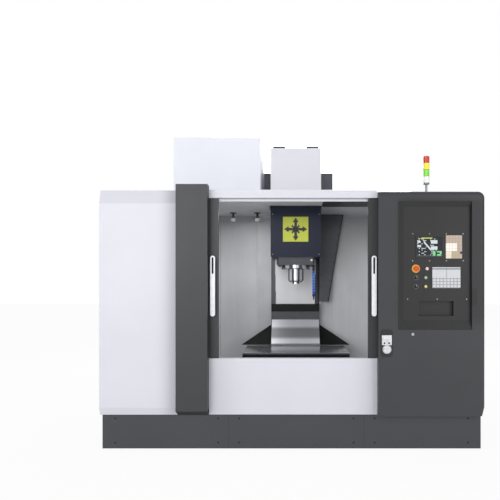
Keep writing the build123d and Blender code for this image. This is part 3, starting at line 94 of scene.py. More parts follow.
class Field:
    """A socket that takes part in sums."""

    def __init__(self, nodes, socket):
        self.nodes = nodes
        self.socket = socket

    __add__ = operator("ADD")
    __radd__ = operator("ADD", swapped=True)
    __sub__ = operator("SUBTRACT")
    __rsub__ = operator("SUBTRACT", swapped=True)
    __mul__ = operator("MULTIPLY")
    __truediv__ = operator("DIVIDE")
    __mod__ = operator("FLOORED_MODULO")
    __gt__ = operator("GREATER_THAN")
    __lt__ = operator("LESS_THAN")
    __abs__ = operator("ABSOLUTE")
    larger = operator("MAXIMUM")
    floor = operator("FLOOR")
    sine = operator("SINE")
    cosine = operator("COSINE")
    angle_over = operator("ARCTAN2")

    def ribs(self, rate):
        """Waves between 0 and 1, so many to a metre."""
        return (self * (rate * 2 * pi)).sine() * 0.5 + 0.5

    def ease(self, low, high):
        """0 up to low, 1 from high on, and a smooth rise between."""
        return self.nodes.node("ShaderNodeMapRange", {"interpolation_type": "SMOOTHSTEP"},
                               {"Value": self, "From Min": low, "From Max": high})

    def share(self, low, high):
        """0 at low and 1 at high."""
        return (self - low) / (high - low)

    def within(self, low, high):
        """1 between low and high, 0 elsewhere."""
        return (self > low) * (self < high)

    def line(self, middle, width):
        """1 on a line of that width in metres, soft at its edges."""
        return 1 - abs(self - middle).ease(width * 0.35, width * 0.75)


def largest(fields):
    """The largest of several fields."""
    found = fields[0]
    for other in fields[1:]:
        found = found.larger(other)
    return found


class Nodes:
    """A shader built node by node. Its x, y and z are the place that is shaded."""

    def __init__(self, owner, ending, coordinates):
        owner.use_nodes = True
        self.tree = owner.node_tree
        self.tree.nodes.clear()
        self.output = self.tree.nodes.new(ending)
        self.place = self.node("ShaderNodeTexCoord", output=coordinates)
        split = self.node("ShaderNodeSeparateXYZ", inputs={"Vector": self.place}).socket.node
        self.x, self.y, self.z = (Field(self, split.outputs[axis]) for axis in "XYZ")

    def node(self, kind, settings=None, inputs=None, output=0):
        """A node with its settings made and its inputs set or linked, as the field of one output."""
        made = self.tree.nodes.new(kind)
        for key, value in (settings or {}).items():
            if key == "stops":
                self.set_stops(made.color_ramp, value)
            else:
                setattr(made, key, value)
        for key, value in (inputs or {}).items():
            if isinstance(value, Field):
                self.tree.links.new(value.socket, made.inputs[key])
            else:
                made.inputs[key].default_value = value
        return Field(self, made.outputs[output])

    @staticmethod
    def set_stops(ramp, stops):
        """Gives a colour ramp its stops of (position, colour)."""
        while len(ramp.elements) < len(stops):
            ramp.elements.new(1.0)
        for element, (position, colour) in zip(ramp.elements, stops):
            element.position = position
            element.color = colour

    def rays(self, *kinds):
        """1 for rays of any of these kinds."""
        return largest([self.node("ShaderNodeLightPath", output="Is %s Ray" % kind) for kind in kinds])

    def show(self, shader):
        """Ends the tree in a shader."""
        self.tree.links.new(shader.socket, self.output.inputs["Surface"])


class Finish(Nodes):
    """A material."""

    def __init__(self, name):
        self.material = bpy.data.materials.new(name)
        super().__init__(self.material, "ShaderNodeOutputMaterial", "Object")

    def grain(self, size, detail=2.0, stretch=(1, 1, 1), roughness=0.5):
        """Noise whose spots are about size millimetres wide, drawn out along an axis by stretch."""
        scale = [1000 / size / factor for factor in stretch]
        place = self.node("ShaderNodeMapping", inputs={"Vector": self.place, "Scale": scale})
        return self.node("ShaderNodeTexNoise", inputs={"Vector": place, "Scale": 1.0, "Detail": detail,
                                                       "Roughness": roughness})

    def mix(self, share, first, second):
        """Two colours mixed."""
        return self.node("ShaderNodeMix", {"data_type": "RGBA"}, {0: share, 6: first, 7: second}, output=2)

    def dent(self, height, strength, distance):
        """Normals that show a height as relief."""
        return self.node("ShaderNodeBump",
                         inputs={"Height": height, "Strength": strength, "Distance": distance})

    def across(self, box):
        """How far across and how far up a box one is, 0 to 1 each."""
        low, high = box
        return self.x.share(low[0], high[0]), self.z.share(low[2], high[2])

    def cut_seams(self, base, height, seams, colour):
        """Panel seams cut into a colour and a height.
        A seam is (axis, place in millimetres, low and high limit in z, or in x for a level one)."""
        cuts = []
        for axis, where, low, high in seams:
            along = self.x if axis == "z" else self.z
            cut = getattr(self, axis).line(where / 1000, seam_width)
            cuts.append(cut * along.within(low / 1000, high / 1000))
        mask = largest(cuts)
        return self.mix(mask * 0.75, base, colour), height - mask * 2.0

    def blacken(self, base, zones):
        """The colour with each zone, a box in metres, painted black."""
        for low, high in zones:
            inside = self.x.within(low[0], high[0]) * self.z.within(low[2], high[2])
            inside = inside * self.y.within(low[1], high[1])
            base = self.mix(inside * 0.9, base, slot_black)
        return base

    def surface(self, **sockets):
        """Ends the material in the principled shader."""
        names = {"colour": "Base Color", "metal": "Metallic", "rough": "Roughness", "normal": "Normal",
                 "coat": "Coat Weight", "coat_rough": "Coat Roughness", "glow": "Emission Color",
                 "glow_strength": "Emission Strength", "clear": "Transmission Weight", "ior": "IOR",
                 "specular": "Specular IOR Level"}
        self.show(self.node("ShaderNodeBsdfPrincipled",
                            inputs={names[key]: value for key, value in sockets.items()}))
        return self.material

    def powder_coat(self, base, height, rough, gloss=0.5):
        """Ends the material as powder coat with faint smudges."""
        smudge = self.grain(160, 4.0)
        return self.surface(colour=base, rough=rough + smudge * 0.08 - 0.04,
                            normal=self.dent(height, 0.1, 0.0006), coat=0.12, coat_rough=0.3, specular=gloss)


# Paint and other finishes

seam_width = 0.004
slot_black = (0.006, 0.006, 0.007, 1.0)
spindle_line = 0.047  # the x of the head's middle
column_half_width = 0.306


def sheet_paint(name, colour, rough=0.42, seams=(), grain=1.6, shade=0.92, zones=(), painted_shades=(), gloss=0.5):
    """Powder coat on folded sheet: fine orange peel, a slow unevenness, panel seams and black zones.
    A painted shade is (axis, place in millimetres where it starts, where it ends, share): paint darkened
    towards one end, standing in for shade."""
    paint = Finish(name)
    height = paint.grain(grain) * 0.25
    slow = paint.grain(420)
    base = paint.mix(slow.ease(0.3, 0.7), shaded(colour, shade), colour)
    if seams:
        base, height = paint.cut_seams(base, height, seams, shaded(colour, 0.18))
    base = paint.blacken(base, zones)
    # Painted shade: the paint darkens along an axis, standing in for shade that falls there.
    for axis, start, end, share in painted_shades:
        rise = getattr(paint, axis).ease(min(start, end) / 1000, max(start, end) / 1000)
        if start > end:
            rise = 1 - rise
        base = paint.mix(rise * share, base, shaded(colour, 0.3))
    return paint.powder_coat(base, height, rough, gloss)


def cabinet_paint(name, zones, seams):
    """The cabinet's dark paint, with painted shade beside the operator's panel that fades in over three
    edges.
    """
    panel_side, panel_foot, panel_top = (0.95, 1.06), (1.12, 1.3), (2.33, 2.42)
    light, deep = tint(51, 52, 56), tint(22, 22, 24)
    paint = Finish(name)
    height = paint.grain(1.6) * 0.25
    slow = paint.grain(420)
    base = paint.mix(slow.ease(0.3, 0.7), shaded(light, 0.92), light)
    # Painted shade: darker paint, in the deep colour, beside the operator's panel on the front only.
    painted_shade_beside_panel = paint.x.ease(*panel_side) * paint.z.ease(*panel_foot) * (1 - paint.z.ease(*panel_top))
    base = paint.mix(painted_shade_beside_panel * (paint.y < front_plane) * 0.8, base, deep)
    base, height = paint.cut_seams(base, height, seams, (0.004, 0.004, 0.005, 1.0))
    return paint.powder_coat(paint.blacken(base, zones), height, 0.48)


def grained_plastic(name, colour, rough=0.5, depth=0.12, coat=0.0):
    """Moulded plastic with a spark-eroded grain."""
    plastic = Finish(name)
    fine = plastic.grain(0.9, 3.0)
    tone = plastic.grain(40)
    base = plastic.mix(tone.ease(0.3, 0.7), shaded(colour, 0.93), colour)
    return plastic.surface(colour=base, rough=rough + fine * 0.1 - 0.05,
                           normal=plastic.dent(fine, depth, 0.0002), coat=coat, coat_rough=0.15)


def brushed_sheet(name, colour, along="z", rough=0.28, bands=()):
    """Ground stainless sheet: fine lines along one axis, and soft bands of painted shade standing in for a
    sheet that isn't quite flat.
    A band is (height in millimetres, width, share, grey level)."""
    steel = Finish(name)
    stretch = [60 if axis == along else 1 for axis in "xyz"]
    lines = steel.grain(1.4, 3.0, stretch)
    slow = steel.grain(130, 1.0, stretch)
    base = steel.mix(lines * 0.5 + slow * 0.5, shaded(colour, 0.8), colour)
    # Each band is painted shade: a darker grey across the sheet at that height.
    for where, width, share, level in bands:
        shade_band = steel.z.line(where / 1000, width / 1000)
        base = steel.mix(shade_band * share, base, tint(level, level, level + 4))
    return steel.surface(colour=base, metal=0.3, rough=rough + lines * 0.14 + slow * 0.06,
                         normal=steel.dent(lines, 0.12, 0.0002))


def turned_metal(name, colour, rough=0.16, axis="z", bands=90):
    """Turned steel with fine rings across its axis."""
    metal = Finish(name)
    rings = getattr(metal, axis).ribs(bands)
    fine = metal.grain(0.7)
    base = metal.mix(fine * 0.6 + rings * 0.2, shaded(colour, 0.82), colour)
    return metal.surface(colour=base, metal=1.0, rough=rough + fine * 0.1,
                         normal=metal.dent(rings + fine, 0.05, 0.0002))


def streaked_steel(name, colour, centre, streaks=5, rough=0.12):
    """Polished steel round a vertical axis, with painted reflections: soft bright and dark streaks down its
    side, by the angle round the axis.
    """
    metal = Finish(name)
    out_x, out_y = metal.x - centre[0], metal.y - centre[1]
    # Painted reflections: bright and dark streaks by the angle round the axis.
    reflection_streaks = ((out_y.angle_over(out_x) + pi / 2) * streaks).cosine() * 0.5 + 0.5
    fine = metal.grain(0.7)
    base = metal.mix(reflection_streaks.ease(0.25, 0.6), tint(74, 75, 80), colour)
    return metal.surface(colour=base, metal=0.75, rough=rough + fine * 0.08,
                         normal=metal.dent(metal.z.ribs(120) + fine, 0.04, 0.0002))


def cast_paint(name, colour):
    """Painted casting: a coarse skin under thick paint."""
    paint = Finish(name)
    coarse = paint.grain(9, 5.0, roughness=0.6)
    slow = paint.grain(150, 3.0)
    base = paint.mix(slow.ease(0.35, 0.7), shaded(colour, 0.8), colour)
    return paint.surface(colour=base, rough=0.5 + coarse * 0.15, normal=paint.dent(coarse, 0.35, 0.002))


def column_paint(name):
    """The column: dark over the roof and behind the steel cover, pale beside it in the work area."""
    roof_line, pale_end = 2.44, front_plane + 1.74
    paint = Finish(name)
    coarse = paint.grain(9, 5.0, roughness=0.6)
    slow = paint.grain(300, 3.0).ease(0.3, 0.75)
    wall = paint.mix(slow, tint(208, 209, 211), tint(222, 223, 225))
    dark = paint.mix(slow, tint(98, 99, 105), tint(106, 107, 113))
    side = (abs(paint.x - spindle_line) > column_half_width) * (paint.z < roof_line) * (paint.y < pale_end)
    base = paint.mix(side, dark, wall)
    return paint.surface(colour=base, rough=0.5 + coarse * 0.15, normal=paint.dent(coarse, 0.2, 0.0012))


def guard_paint(name):
    """The column's guards: grey sheet, a black band of painted shade in the gap under the steel cover,
    black sloping chip guards, and a black strip along the slanted guard's free edge."""
    shade_band_half_width, shade_band_foot, shade_band_top, chip_guard_top = 0.32, 1.219, 1.32, 1.115
    slanted_foot, foot_width, slant, dark_edge_width = 1.344, 0.118, 0.1676, 0.018
    paint = Finish(name)
    peel = paint.grain(1.6)
    slow = paint.grain(300)
    grey = paint.mix(slow.ease(0.3, 0.7), tint(89, 90, 94), tint(97, 98, 102))
    black = paint.mix(slow.ease(0.3, 0.7), tint(7, 7, 8), tint(12, 12, 13))
    # Painted shade: a black band in the gap under the steel cover.
    shade_band = paint.z.within(shade_band_foot, shade_band_top) * (abs(paint.x - spindle_line) < shade_band_half_width)
    base = paint.mix(shade_band.larger(paint.z < chip_guard_top), grey, black)
    foot_edge = spindle_line + column_half_width + foot_width
    # A black strip painted along the slanted guard's free edge.
    dark_edge_strip = (paint.x - foot_edge - (paint.z - slanted_foot) * slant) > -dark_edge_width
    dark_edge_strip = dark_edge_strip * (paint.z > slanted_foot + 0.002) * (paint.x > 0.4)
    base = paint.mix(dark_edge_strip * 0.85, base, black)
    return paint.surface(colour=base, rough=0.4 + slow * 0.06, normal=paint.dent(peel, 0.12, 0.0006),
                         specular=0.25)


def ground_table(name):
    """Milled top of the table: long cutter tracks, with painted shade in the slots and everywhere below the
    top face.
    """
    iron = Finish(name)
    tracks = iron.grain(3.0, 3.0, (40, 1, 1))
    wear = iron.grain(120, 4.0)
    _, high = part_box("table")
    slot_shade_top = high[2] - 0.004
    base = iron.mix(tracks * 0.6 + wear * 0.3, tint(150, 152, 156), tint(214, 216, 220))
    # Painted shade: dark below the top face, in the slots and on the sides.
    base = iron.mix(iron.z.ease(slot_shade_top - 0.02, slot_shade_top), tint(58, 59, 62), base)
    return iron.surface(colour=base, metal=0.8, rough=0.08 + tracks * 0.1 + wear * 0.06,
                        normal=iron.dent(tracks, 0.15, 0.0003))


def clear_glass(name):
    """Window glass under a thin uneven film."""
    glass = Finish(name)
    film = glass.grain(240, 3.0)
    return glass.surface(colour=(0.86, 0.92, 0.92, 1.0), clear=1.0, ior=1.45, rough=0.03 + film * 0.03)


def soft_rubber(name):
    """Black rubber with a fine bloom."""
    black = (0.012, 0.012, 0.013, 1.0)
    rubber = Finish(name)
    fine = rubber.grain(1.2, 3.0)
    base = rubber.mix(fine, black, shaded(black, 2.2))
    return rubber.surface(colour=base, rough=0.7 + fine * 0.12, normal=rubber.dent(fine, 0.2, 0.0004))


def inner_sheet(name):
    """The work area's walls: pale paint with seams and run marks of coolant, painted shade towards the
    ceiling, dark round the two ceiling fittings, and a painted shadow on a strip of ceiling at the right
    behind the header."""
    ceiling, fittings_end, shadow_strip_start = 2.424, -0.3, 0.33
    upright_seams, level_seams = (-0.905, 0.97), (1.02, 1.33)
    paint = Finish(name)
    peel = paint.grain(1.8)
    slow = paint.grain(520, 3.0)
    streaks = paint.grain(60, 3.0, (1, 1, 14))
    base = paint.mix(slow.ease(0.3, 0.75), tint(214, 215, 217), tint(226, 227, 229))
    base = paint.mix(streaks.ease(0.45, 0.8) * 0.3, base, tint(236, 237, 240))
    drops = paint.grain(26, 4.0).ease(0.66, 0.78) * (1 - paint.z.ease(0.9, 1.6))
    base = paint.mix(drops * 0.25, base, tint(150, 151, 153))
    # Painted shade: the walls darken towards the ceiling.
    base = paint.mix(paint.z.ease(1.6, 2.3) * (paint.z < ceiling) * 0.42, base, tint(120, 121, 123))
    fitting = paint.z.within(2.2, ceiling + 0.005) * paint.y.within(front_plane + 1.3, front_plane + 1.5)
    base = paint.mix(fitting * (paint.x < fittings_end) * 0.95, base, tint(62, 62, 64))
    # Painted shadow: a near-black strip of ceiling at the right behind the header.
    shadow_strip = (paint.z > ceiling) * (paint.x > shadow_strip_start) * (paint.y < front_plane + 0.9)
    base = paint.mix(shadow_strip * 0.97, base, (0.008, 0.008, 0.01, 1.0))
    on_sides = abs(paint.x - 0.03) > 0.93
    cuts = [paint.x.line(where, 0.006) for where in upright_seams]
    cuts += [paint.z.line(where, 0.005) * on_sides for where in level_seams]
    seam = largest(cuts)
    base = paint.mix(seam * 0.5, base, tint(110, 111, 114))
    return paint.surface(colour=base, rough=0.46 + streaks * 0.08,
                         normal=paint.dent(peel * 0.2 - seam, 0.12, 0.0008), coat=0.08)


def lamp_lenses(name):
    """The tower's four lenses, told apart by height: ribbed, coloured clear plastic with dark joints."""
    colours = [tint(232, 238, 230), tint(120, 212, 52), tint(238, 220, 60), tint(192, 46, 34)]
    count = len(colours)
    lens = Finish(name)
    low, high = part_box("tower_lamps")
    rise = lens.z.share(low[2], high[2])
    stops = [(index / count, colour) for index, colour in enumerate(colours)]
    colour = lens.node("ShaderNodeValToRGB", {"stops": stops}, {"Fac": rise})
    colour.socket.node.color_ramp.interpolation = "CONSTANT"
    ribs = lens.z.ribs(160)
    joint = abs(rise * count - (rise * count + 0.5).floor())
    base = lens.mix((1 - joint.ease(0.02, 0.06)) * 0.6, colour, (0.05, 0.05, 0.05, 1.0))
    return lens.surface(colour=base, rough=0.18 + ribs * 0.08, normal=lens.dent(ribs, 0.25, 0.0005),
                        glow=base, glow_strength=0.25, coat=0.4, coat_rough=0.1)


def screen_picture(name):
    """A plain numeric screen: pale columns, a drawn tool path and a green field, made from its own place."""
    rows, columns = 13, 18
    screen = Finish(name)
    u, v = screen.across(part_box("screen"))
    cell_u, cell_v = (u * columns) % 1.0, (v * rows) % 1.0
    # A number from 0 to 1 for each cell, which differs without order
    number = (u * columns).floor() * 12.9898 + (v * rows).floor() * 78.233
    chance = (number.sine() * 43758.5453) % 1.0
    glyph = cell_u.within(0.12, 0.88) * cell_v.within(0.25, 0.8) * (chance > 0.6)
    figures = glyph * (u < 0.36).larger(u.within(0.52, 0.8) * (chance > 0.3)) * v.within(0.1, 0.92)
    fields = u.within(0.54, 0.8) * v.within(0.66, 0.83).larger(v.within(0.37, 0.53))
    marks = u.within(0.02, 0.14) * v.within(0.7, 0.79).larger(v.within(0.5, 0.59))
    path = v.line(1.12 - u * 1.4, 0.1) * u.within(0.26, 0.54)
    top_bar = v.within(0.9, 0.96) * u.within(0.04, 0.6) * (chance > 0.2)
    soft_keys = v.within(0.03, 0.1) * cell_u.within(0.1, 0.8)
    green_field = u.within(0.62, 0.97) * v.within(0.06, 0.3) * (chance > 0.35)
    drawn = largest([figures, path, fields, marks])
    picture = screen.mix(drawn, (0.004, 0.005, 0.006, 1.0), tint(228, 236, 240))
    picture = screen.mix(top_bar, picture, tint(196, 214, 110))
    picture = screen.mix(soft_keys * 0.5, picture, tint(120, 130, 140))
    picture = screen.mix(green_field, picture, tint(140, 226, 158))
    return screen.surface(colour=(0.006, 0.007, 0.008, 1.0), rough=0.12, glow=picture, glow_strength=0.9,
                          coat=0.6, coat_rough=0.05)


def keypad_keys(name):
    """Beige keys with a pale field on the left, a paler one below it and a dark key at the lower right."""
    keys = Finish(name)
    u, v = keys.across(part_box("keypad"))
    fine = keys.grain(0.8)
    base = keys.mix(fine, tint(186, 168, 150), tint(200, 183, 166))
    base = keys.mix(v.within(0.32, 0.66) * (u < 0.68), base, tint(248, 244, 234))
    base = keys.mix((v < 0.32) * (u < 0.34), base, tint(238, 228, 206))
    base = keys.mix((v < 0.32) * u.within(0.34, 0.86), base, tint(192, 176, 150))
    base = keys.mix(v.within(0.2, 0.3) * (u > 0.86), base, tint(40, 46, 66))
    gap = ((u * 5.0) % 1.0).within(0.0, 0.07).larger(((v * 7.0) % 1.0).within(0.0, 0.07))
    base = keys.mix(gap * 0.35, base, tint(120, 106, 94))
    return keys.surface(colour=base, rough=0.45 + fine * 0.1, normal=keys.dent(fine, 0.08, 0.0002))


def machine_keys(name):
    """Light grey membrane: two wide fields above, a grid of keys with dark lines between below."""
    keys = Finish(name)
    u, v = keys.across(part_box("key_panel"))
    fine = keys.grain(0.8)
    base = keys.mix(fine, tint(204, 206, 208), tint(216, 218, 220))
    base = keys.mix(v.within(0.88, 0.96), base, tint(150, 154, 158))
    gaps = ((v * 7.0) % 1.0).within(0.0, 0.3).larger(((u * 8.0) % 1.0).within(0.0, 0.2))
    base = keys.mix(gaps * (v < 0.5) * 0.55, base, tint(110, 114, 118))
    base = keys.mix(u.line(0.5, 0.04) * (v > 0.5) * 0.4, base, tint(130, 134, 138))
    return keys.surface(colour=base, rough=0.4 + fine * 0.1, normal=keys.dent(fine, 0.06, 0.0002))


def nozzle_links(name):
    """Jointed coolant hose: dark at the top, bright blue below and a navy tip, under a pale knob."""
    hose = Finish(name)
    low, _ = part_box("coolant_nozzle")
    hose_top = 1.779
    colours = [(0.0, tint(26, 34, 84)), (0.14, tint(26, 34, 84)), (0.22, tint(48, 96, 190)),
               (0.72, tint(76, 128, 214)), (0.86, tint(34, 38, 52)), (1.0, tint(22, 24, 30))]
    rise = hose.z.share(low[2], hose_top)
    colour = hose.node("ShaderNodeValToRGB", {"stops": colours}, {"Fac": rise})
    colour = hose.mix(hose.z > hose_top + 0.02, colour, tint(240, 240, 240))
    fine = hose.grain(0.8)
    return hose.surface(colour=colour, rough=0.36 + fine * 0.1, normal=hose.dent(fine, 0.1, 0.0002))


def collar_rings(name):
    """The emergency stop's ring is yellow and the other switch collars are dull metal."""
    reach = 0.015
    ring = Finish(name)
    low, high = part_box("stop_button")
    around = ring.x.within(low[0] - reach, high[0] + reach) * ring.z.within(low[2] - reach, high[2] + reach)
    fine = ring.grain(0.6)
    base = ring.mix(around, tint(112, 110, 112), tint(232, 190, 60))
    return ring.surface(colour=base, metal=1 - around, rough=0.22 + fine * 0.12,
                        normal=ring.dent(fine, 0.06, 0.0002))


def finned_paint(name, colour):
    """Motor body: black paint over cooling fins, with a painted highlight on the fins' crests and painted
    shade in the grooves between them.
    """
    paint = Finish(name)
    fins = paint.z.ribs(60)
    fine = paint.grain(2.0, 3.0)
    # Painted shade and highlight: lighter on the fins' crests, darker in the grooves.
    base = paint.mix(fins * 0.5, colour, shaded(colour, 1.8))
    return paint.surface(colour=base, rough=0.45 + fine * 0.1,
                         normal=paint.dent(fins * 0.8 + fine * 0.2, 0.5, 0.003))


def silver_cast(name):
    """Bright die-cast metal under clear lacquer."""
    metal = Finish(name)
    fine = metal.grain(1.1, 3.0)
    slow = metal.grain(30)
    base = metal.mix(slow.ease(0.3, 0.7), tint(206, 208, 212), tint(232, 233, 236))
    return metal.surface(colour=base, metal=0.55, rough=0.26 + fine * 0.12,
                         normal=metal.dent(fine, 0.12, 0.0003), coat=0.3, coat_rough=0.1)


def slot_dark(name):
    """Near-black: painted shade for the dark behind a slot; the handles' dark inlays and the bars' black
    sleeves use it too.
    """
    dark = Finish(name)
    fine = dark.grain(3)
    return dark.surface(colour=dark.mix(fine, (0.004, 0.004, 0.004, 1.0), (0.01, 0.01, 0.01, 1.0)),
                        rough=0.8 + fine * 0.1)


spindle_low, spindle_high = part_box("spindle")
spindle_middle = [halfway(limits) for limits in zip(spindle_low, spindle_high)]
white = tint(217, 218, 225)
outlet_middle = halfway(span("air_outlet")[0])
cabinet_slots = [corners_of((outlet_middle - 57, outlet_middle + 57), (-76, -70.2), (880, 1150)),
                 corners_of((1688, 1736), (-74, -70.2), (1365, 1535))]
side_seams = (80, -620)
head_cover_top = 3070  # where the sheet itself ends, since only the two bars stand higher
head_bars = corners_of((-400, 500), (0, 3000), (head_cover_top + 1, 4000))
finish_of = {
    "header": sheet_paint("white_sheet_paint", white, shade=0.97),
    # The magazine's cover gets a lighter white than the header: painted light on its front.
    "magazine_cover": sheet_paint("magazine_cover_paint", tint(233, 235, 242), shade=0.97),
    # Painted shade on the apron towards the pillar and towards the cabinet, and on the housing towards the
    # pillar.
    "front_apron": sheet_paint("apron_paint", white, shade=0.97,
                               painted_shades=[("x", -350, -800, 0.18), ("x", 540, 830, 0.24)]),
    "left_housing": sheet_paint("housing_paint", white, shade=0.97, painted_shades=[("x", -1290, -1090, 0.36)],
                                seams=[("y", where, 330, 2330) for where in side_seams]),
    "roof": sheet_paint("roof_paint", white, seams=[("x", -905, 2450, 2470)]),
    "front_pillar": sheet_paint("dark_sheet_paint", tint(46, 47, 50), rough=0.48),
    "right_cabinet": cabinet_paint("cabinet_paint", cabinet_slots,
                                   [("y", where, 330, 2400) for where in side_seams]),
    "operator_panel": sheet_paint("panel_paint", tint(25, 25, 26), rough=0.5),
    "head_cover_upper": sheet_paint("head_cover_white", tint(226, 227, 233), shade=0.97, zones=[head_bars]),
    "air_outlet": silver_cast("silver_cast"),
    "plinth": sheet_paint("plinth_paint", tint(58, 59, 63), rough=0.5,
                          seams=[("x", -600, 0, 400), ("x", 690, 0, 400)]),
    "door": sheet_paint("door_frame_paint", tint(41, 42, 45), rough=0.45),
    "head_cover_lower": sheet_paint("head_cover_paint", tint(26, 32, 50), rough=0.6, gloss=0.25),
    "column_guards": guard_paint("guard_paint"),
    "column": column_paint("column_paint"),
    "head_casting": cast_paint("head_casting_paint", tint(72, 74, 80)),
    "inner_walls": inner_sheet("work_area_sheet"),
    "casting": cast_paint("casting_paint", tint(150, 156, 160)),
    "table": ground_table("table_top_iron"),
    "way_cover": brushed_sheet("ground_cover_sheet", tint(236, 236, 238)),
    "slope_cover": brushed_sheet("ground_slope_sheet", tint(238, 239, 245), "x", 0.2,
                                 bands=[(967, 110, 0.72, 84), (842, 9, 0.9, 30)]),
    "ball_screw": turned_metal("polished_spindle_steel", tint(214, 215, 220)),
    "spindle": streaked_steel("spindle_steel", tint(246, 247, 250), spindle_middle),
    "spindle_cartridge": streaked_steel("flange_steel", tint(236, 237, 241), spindle_middle, 9, 0.2),
    "turned": turned_metal("turned_steel", tint(176, 177, 182), 0.26),
    "motor": finned_paint("motor_paint", tint(40, 41, 44)),
    "coolant_pump": cast_paint("pump_paint", tint(44, 92, 150)),
    "glass": clear_glass("window_glass"),
    "screen": screen_picture("screen_picture"),
    "handle": grained_plastic("handle_plastic", tint(244, 245, 248), 0.28, 0.05, coat=0.3),
    "keypad": keypad_keys("keypad_keys"),
    "key_panel": machine_keys("membrane_keys"),
    "stop_button": grained_plastic("stop_red_plastic", tint(226, 74, 30), 0.3, 0.05, coat=0.5),
    "knob": grained_plastic("black_knob_plastic", tint(30, 29, 31), 0.4),
    "start_button": grained_plastic("green_button_plastic", tint(148, 200, 156), 0.25, 0.04, coat=0.5),
    "hold_button": grained_plastic("yellow_button_plastic", tint(226, 208, 110), 0.25, 0.04, coat=0.5),
    "power_lamp": grained_plastic("pale_lamp_plastic", tint(244, 214, 216), 0.2, 0.04, coat=0.5),
    "switch_collars": collar_rings("switch_rings"),
    "panel_lock": turned_metal("latch_steel", tint(200, 201, 205), 0.2, "y"),
    "coolant_nozzle": nozzle_links("nozzle_links"),
    "tower_lamps": lamp_lenses("tower_lenses"),
    "tower_pole": turned_metal("pole_aluminium", tint(150, 152, 156), 0.35, "z", 30),
    "drive_modules": grained_plastic("drive_module_plastic", tint(150, 152, 156), 0.5, 0.15),
    "coolant_tank": sheet_paint("tank_paint", tint(128, 132, 138), rough=0.5),
    "rear": sheet_paint("rear_cabinet_paint", tint(206, 208, 214), rough=0.45),
    "rubber": soft_rubber("seal_rubber"),
    # The recess is near-black: painted shade behind a slot.
    "recess": slot_dark("slot_dark"),
    "sign": sheet_paint("sign_yellow_paint", tint(184, 191, 52), rough=0.5, grain=1.0),
    "sign_dark": sheet_paint("sign_dark_paint", tint(38, 38, 34), rough=0.5),
    "screw": turned_metal("screw_steel", tint(168, 169, 172), 0.3, "y", 400),
    "rivet": turned_metal("rivet_steel", tint(58, 58, 62), 0.4, "y", 400),
}

# Finishes that several nodes share. Every other node has the finish of its own name.
shared_finish = {
    "door": "left_door right_door",
    "glass": "left_window right_window",
    "handle": "left_handle right_handle",
    "way_cover": "way_cover_top way_cover_middle way_cover_low",
    "casting": "bed saddle magazine_stand",
    "turned": "levelling_feet screw_bearings magazine_disc",
    "ball_screw": "x_screw y_screw z_screw",
    "motor": "spindle_motor axis_motors x_motor",
    "knob": "selector_upper selector_lower",
    "rear": "electric_cabinet electric_door",
}
for finish, names in shared_finish.items():
    for name in names.split():
        finish_of[name] = finish_of[finish]
for name in node:
    mesh = node[name].data
    mesh.materials.clear()
    mesh.materials.append(finish_of[name])


# Pieces


def place_object(name, data):
    """A new object in the scene."""
    made = bpy.data.objects.new(name, data)
    bpy.context.collection.objects.link(made)
    return made


def mesh_of(name, form):
    """A bmesh made a mesh, with its faces turned outwards."""
    mesh = bpy.data.meshes.new(name)
    bmesh.ops.recalc_face_normals(form, faces=form.faces)
    form.to_mesh(mesh)
    form.free()
    return mesh


def piece(name, form, finish, body="frame"):
    """A mesh object from a bmesh, finished and riding on a body."""
    mesh = mesh_of(name, form)
    mesh.materials.append(finish_of[finish])
    made = place_object(name, mesh)
    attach(made, body)


def join_loops(form, near, far):
    """Faces between two loops of corners, of which one may be a single point."""
    count = max(len(near), len(far))
    for index in range(count):
        following = (index + 1) % count
        corners = [near[index % len(near)], near[following % len(near)],
                   far[following % len(far)], far[index % len(far)]]
        form.faces.new(list(dict.fromkeys(corners)))


def add_block(form, wide, deep, tall, edge=0.0):
    """A box between limits in x, depth and z, in millimetres, with bevelled edges."""
    low, high = corners_of(wide, deep, tall)
    made = bmesh.ops.create_cube(form, size=1.0)["verts"]
    for vertex in made:
        for axis in range(3):
            vertex.co[axis] = low[axis] if vertex.co[axis] < 0 else high[axis]
    if edge:
        edges = {link for vertex in made for link in vertex.link_edges}
        bmesh.ops.bevel(form, geom=list(edges), offset=edge / 1000, segments=2, affect="EDGES")


def add_plate(form, outline, depth0, depth1):
    """A flat plate with an outline of (x, z), standing upright on a front face."""
    near, far = ([form.verts.new(at(x, depth, z)) for x, z in outline] for depth in (depth0, depth1))
    form.faces.new(near)
    form.faces.new(far[::-1])
    join_loops(form, near, far)


def add_bar(form, start, end, width, depth0, depth1):
    """A straight flat bar between two points of (x, z)."""
    start, end = Vector(start), Vector(end)
    way = (end - start).normalized()
    across = Vector((-way.y, way.x)) * (width / 2)
    add_plate(form, [start + across, end + across, end - across, start - across], depth0, depth1)


def add_stadium(form, x, z0, z1, radius, depth0, depth1, steps=10):
    """A flat upright plate with round ends."""
    outline = []
    for middle, start in ((z1 - radius, 0), (z0 + radius, pi)):
        for step in range(steps + 1):
            angle = start + pi * step / steps
            outline.append((x + radius * cos(angle), middle + radius * sin(angle)))
    add_plate(form, outline, depth0, depth1)


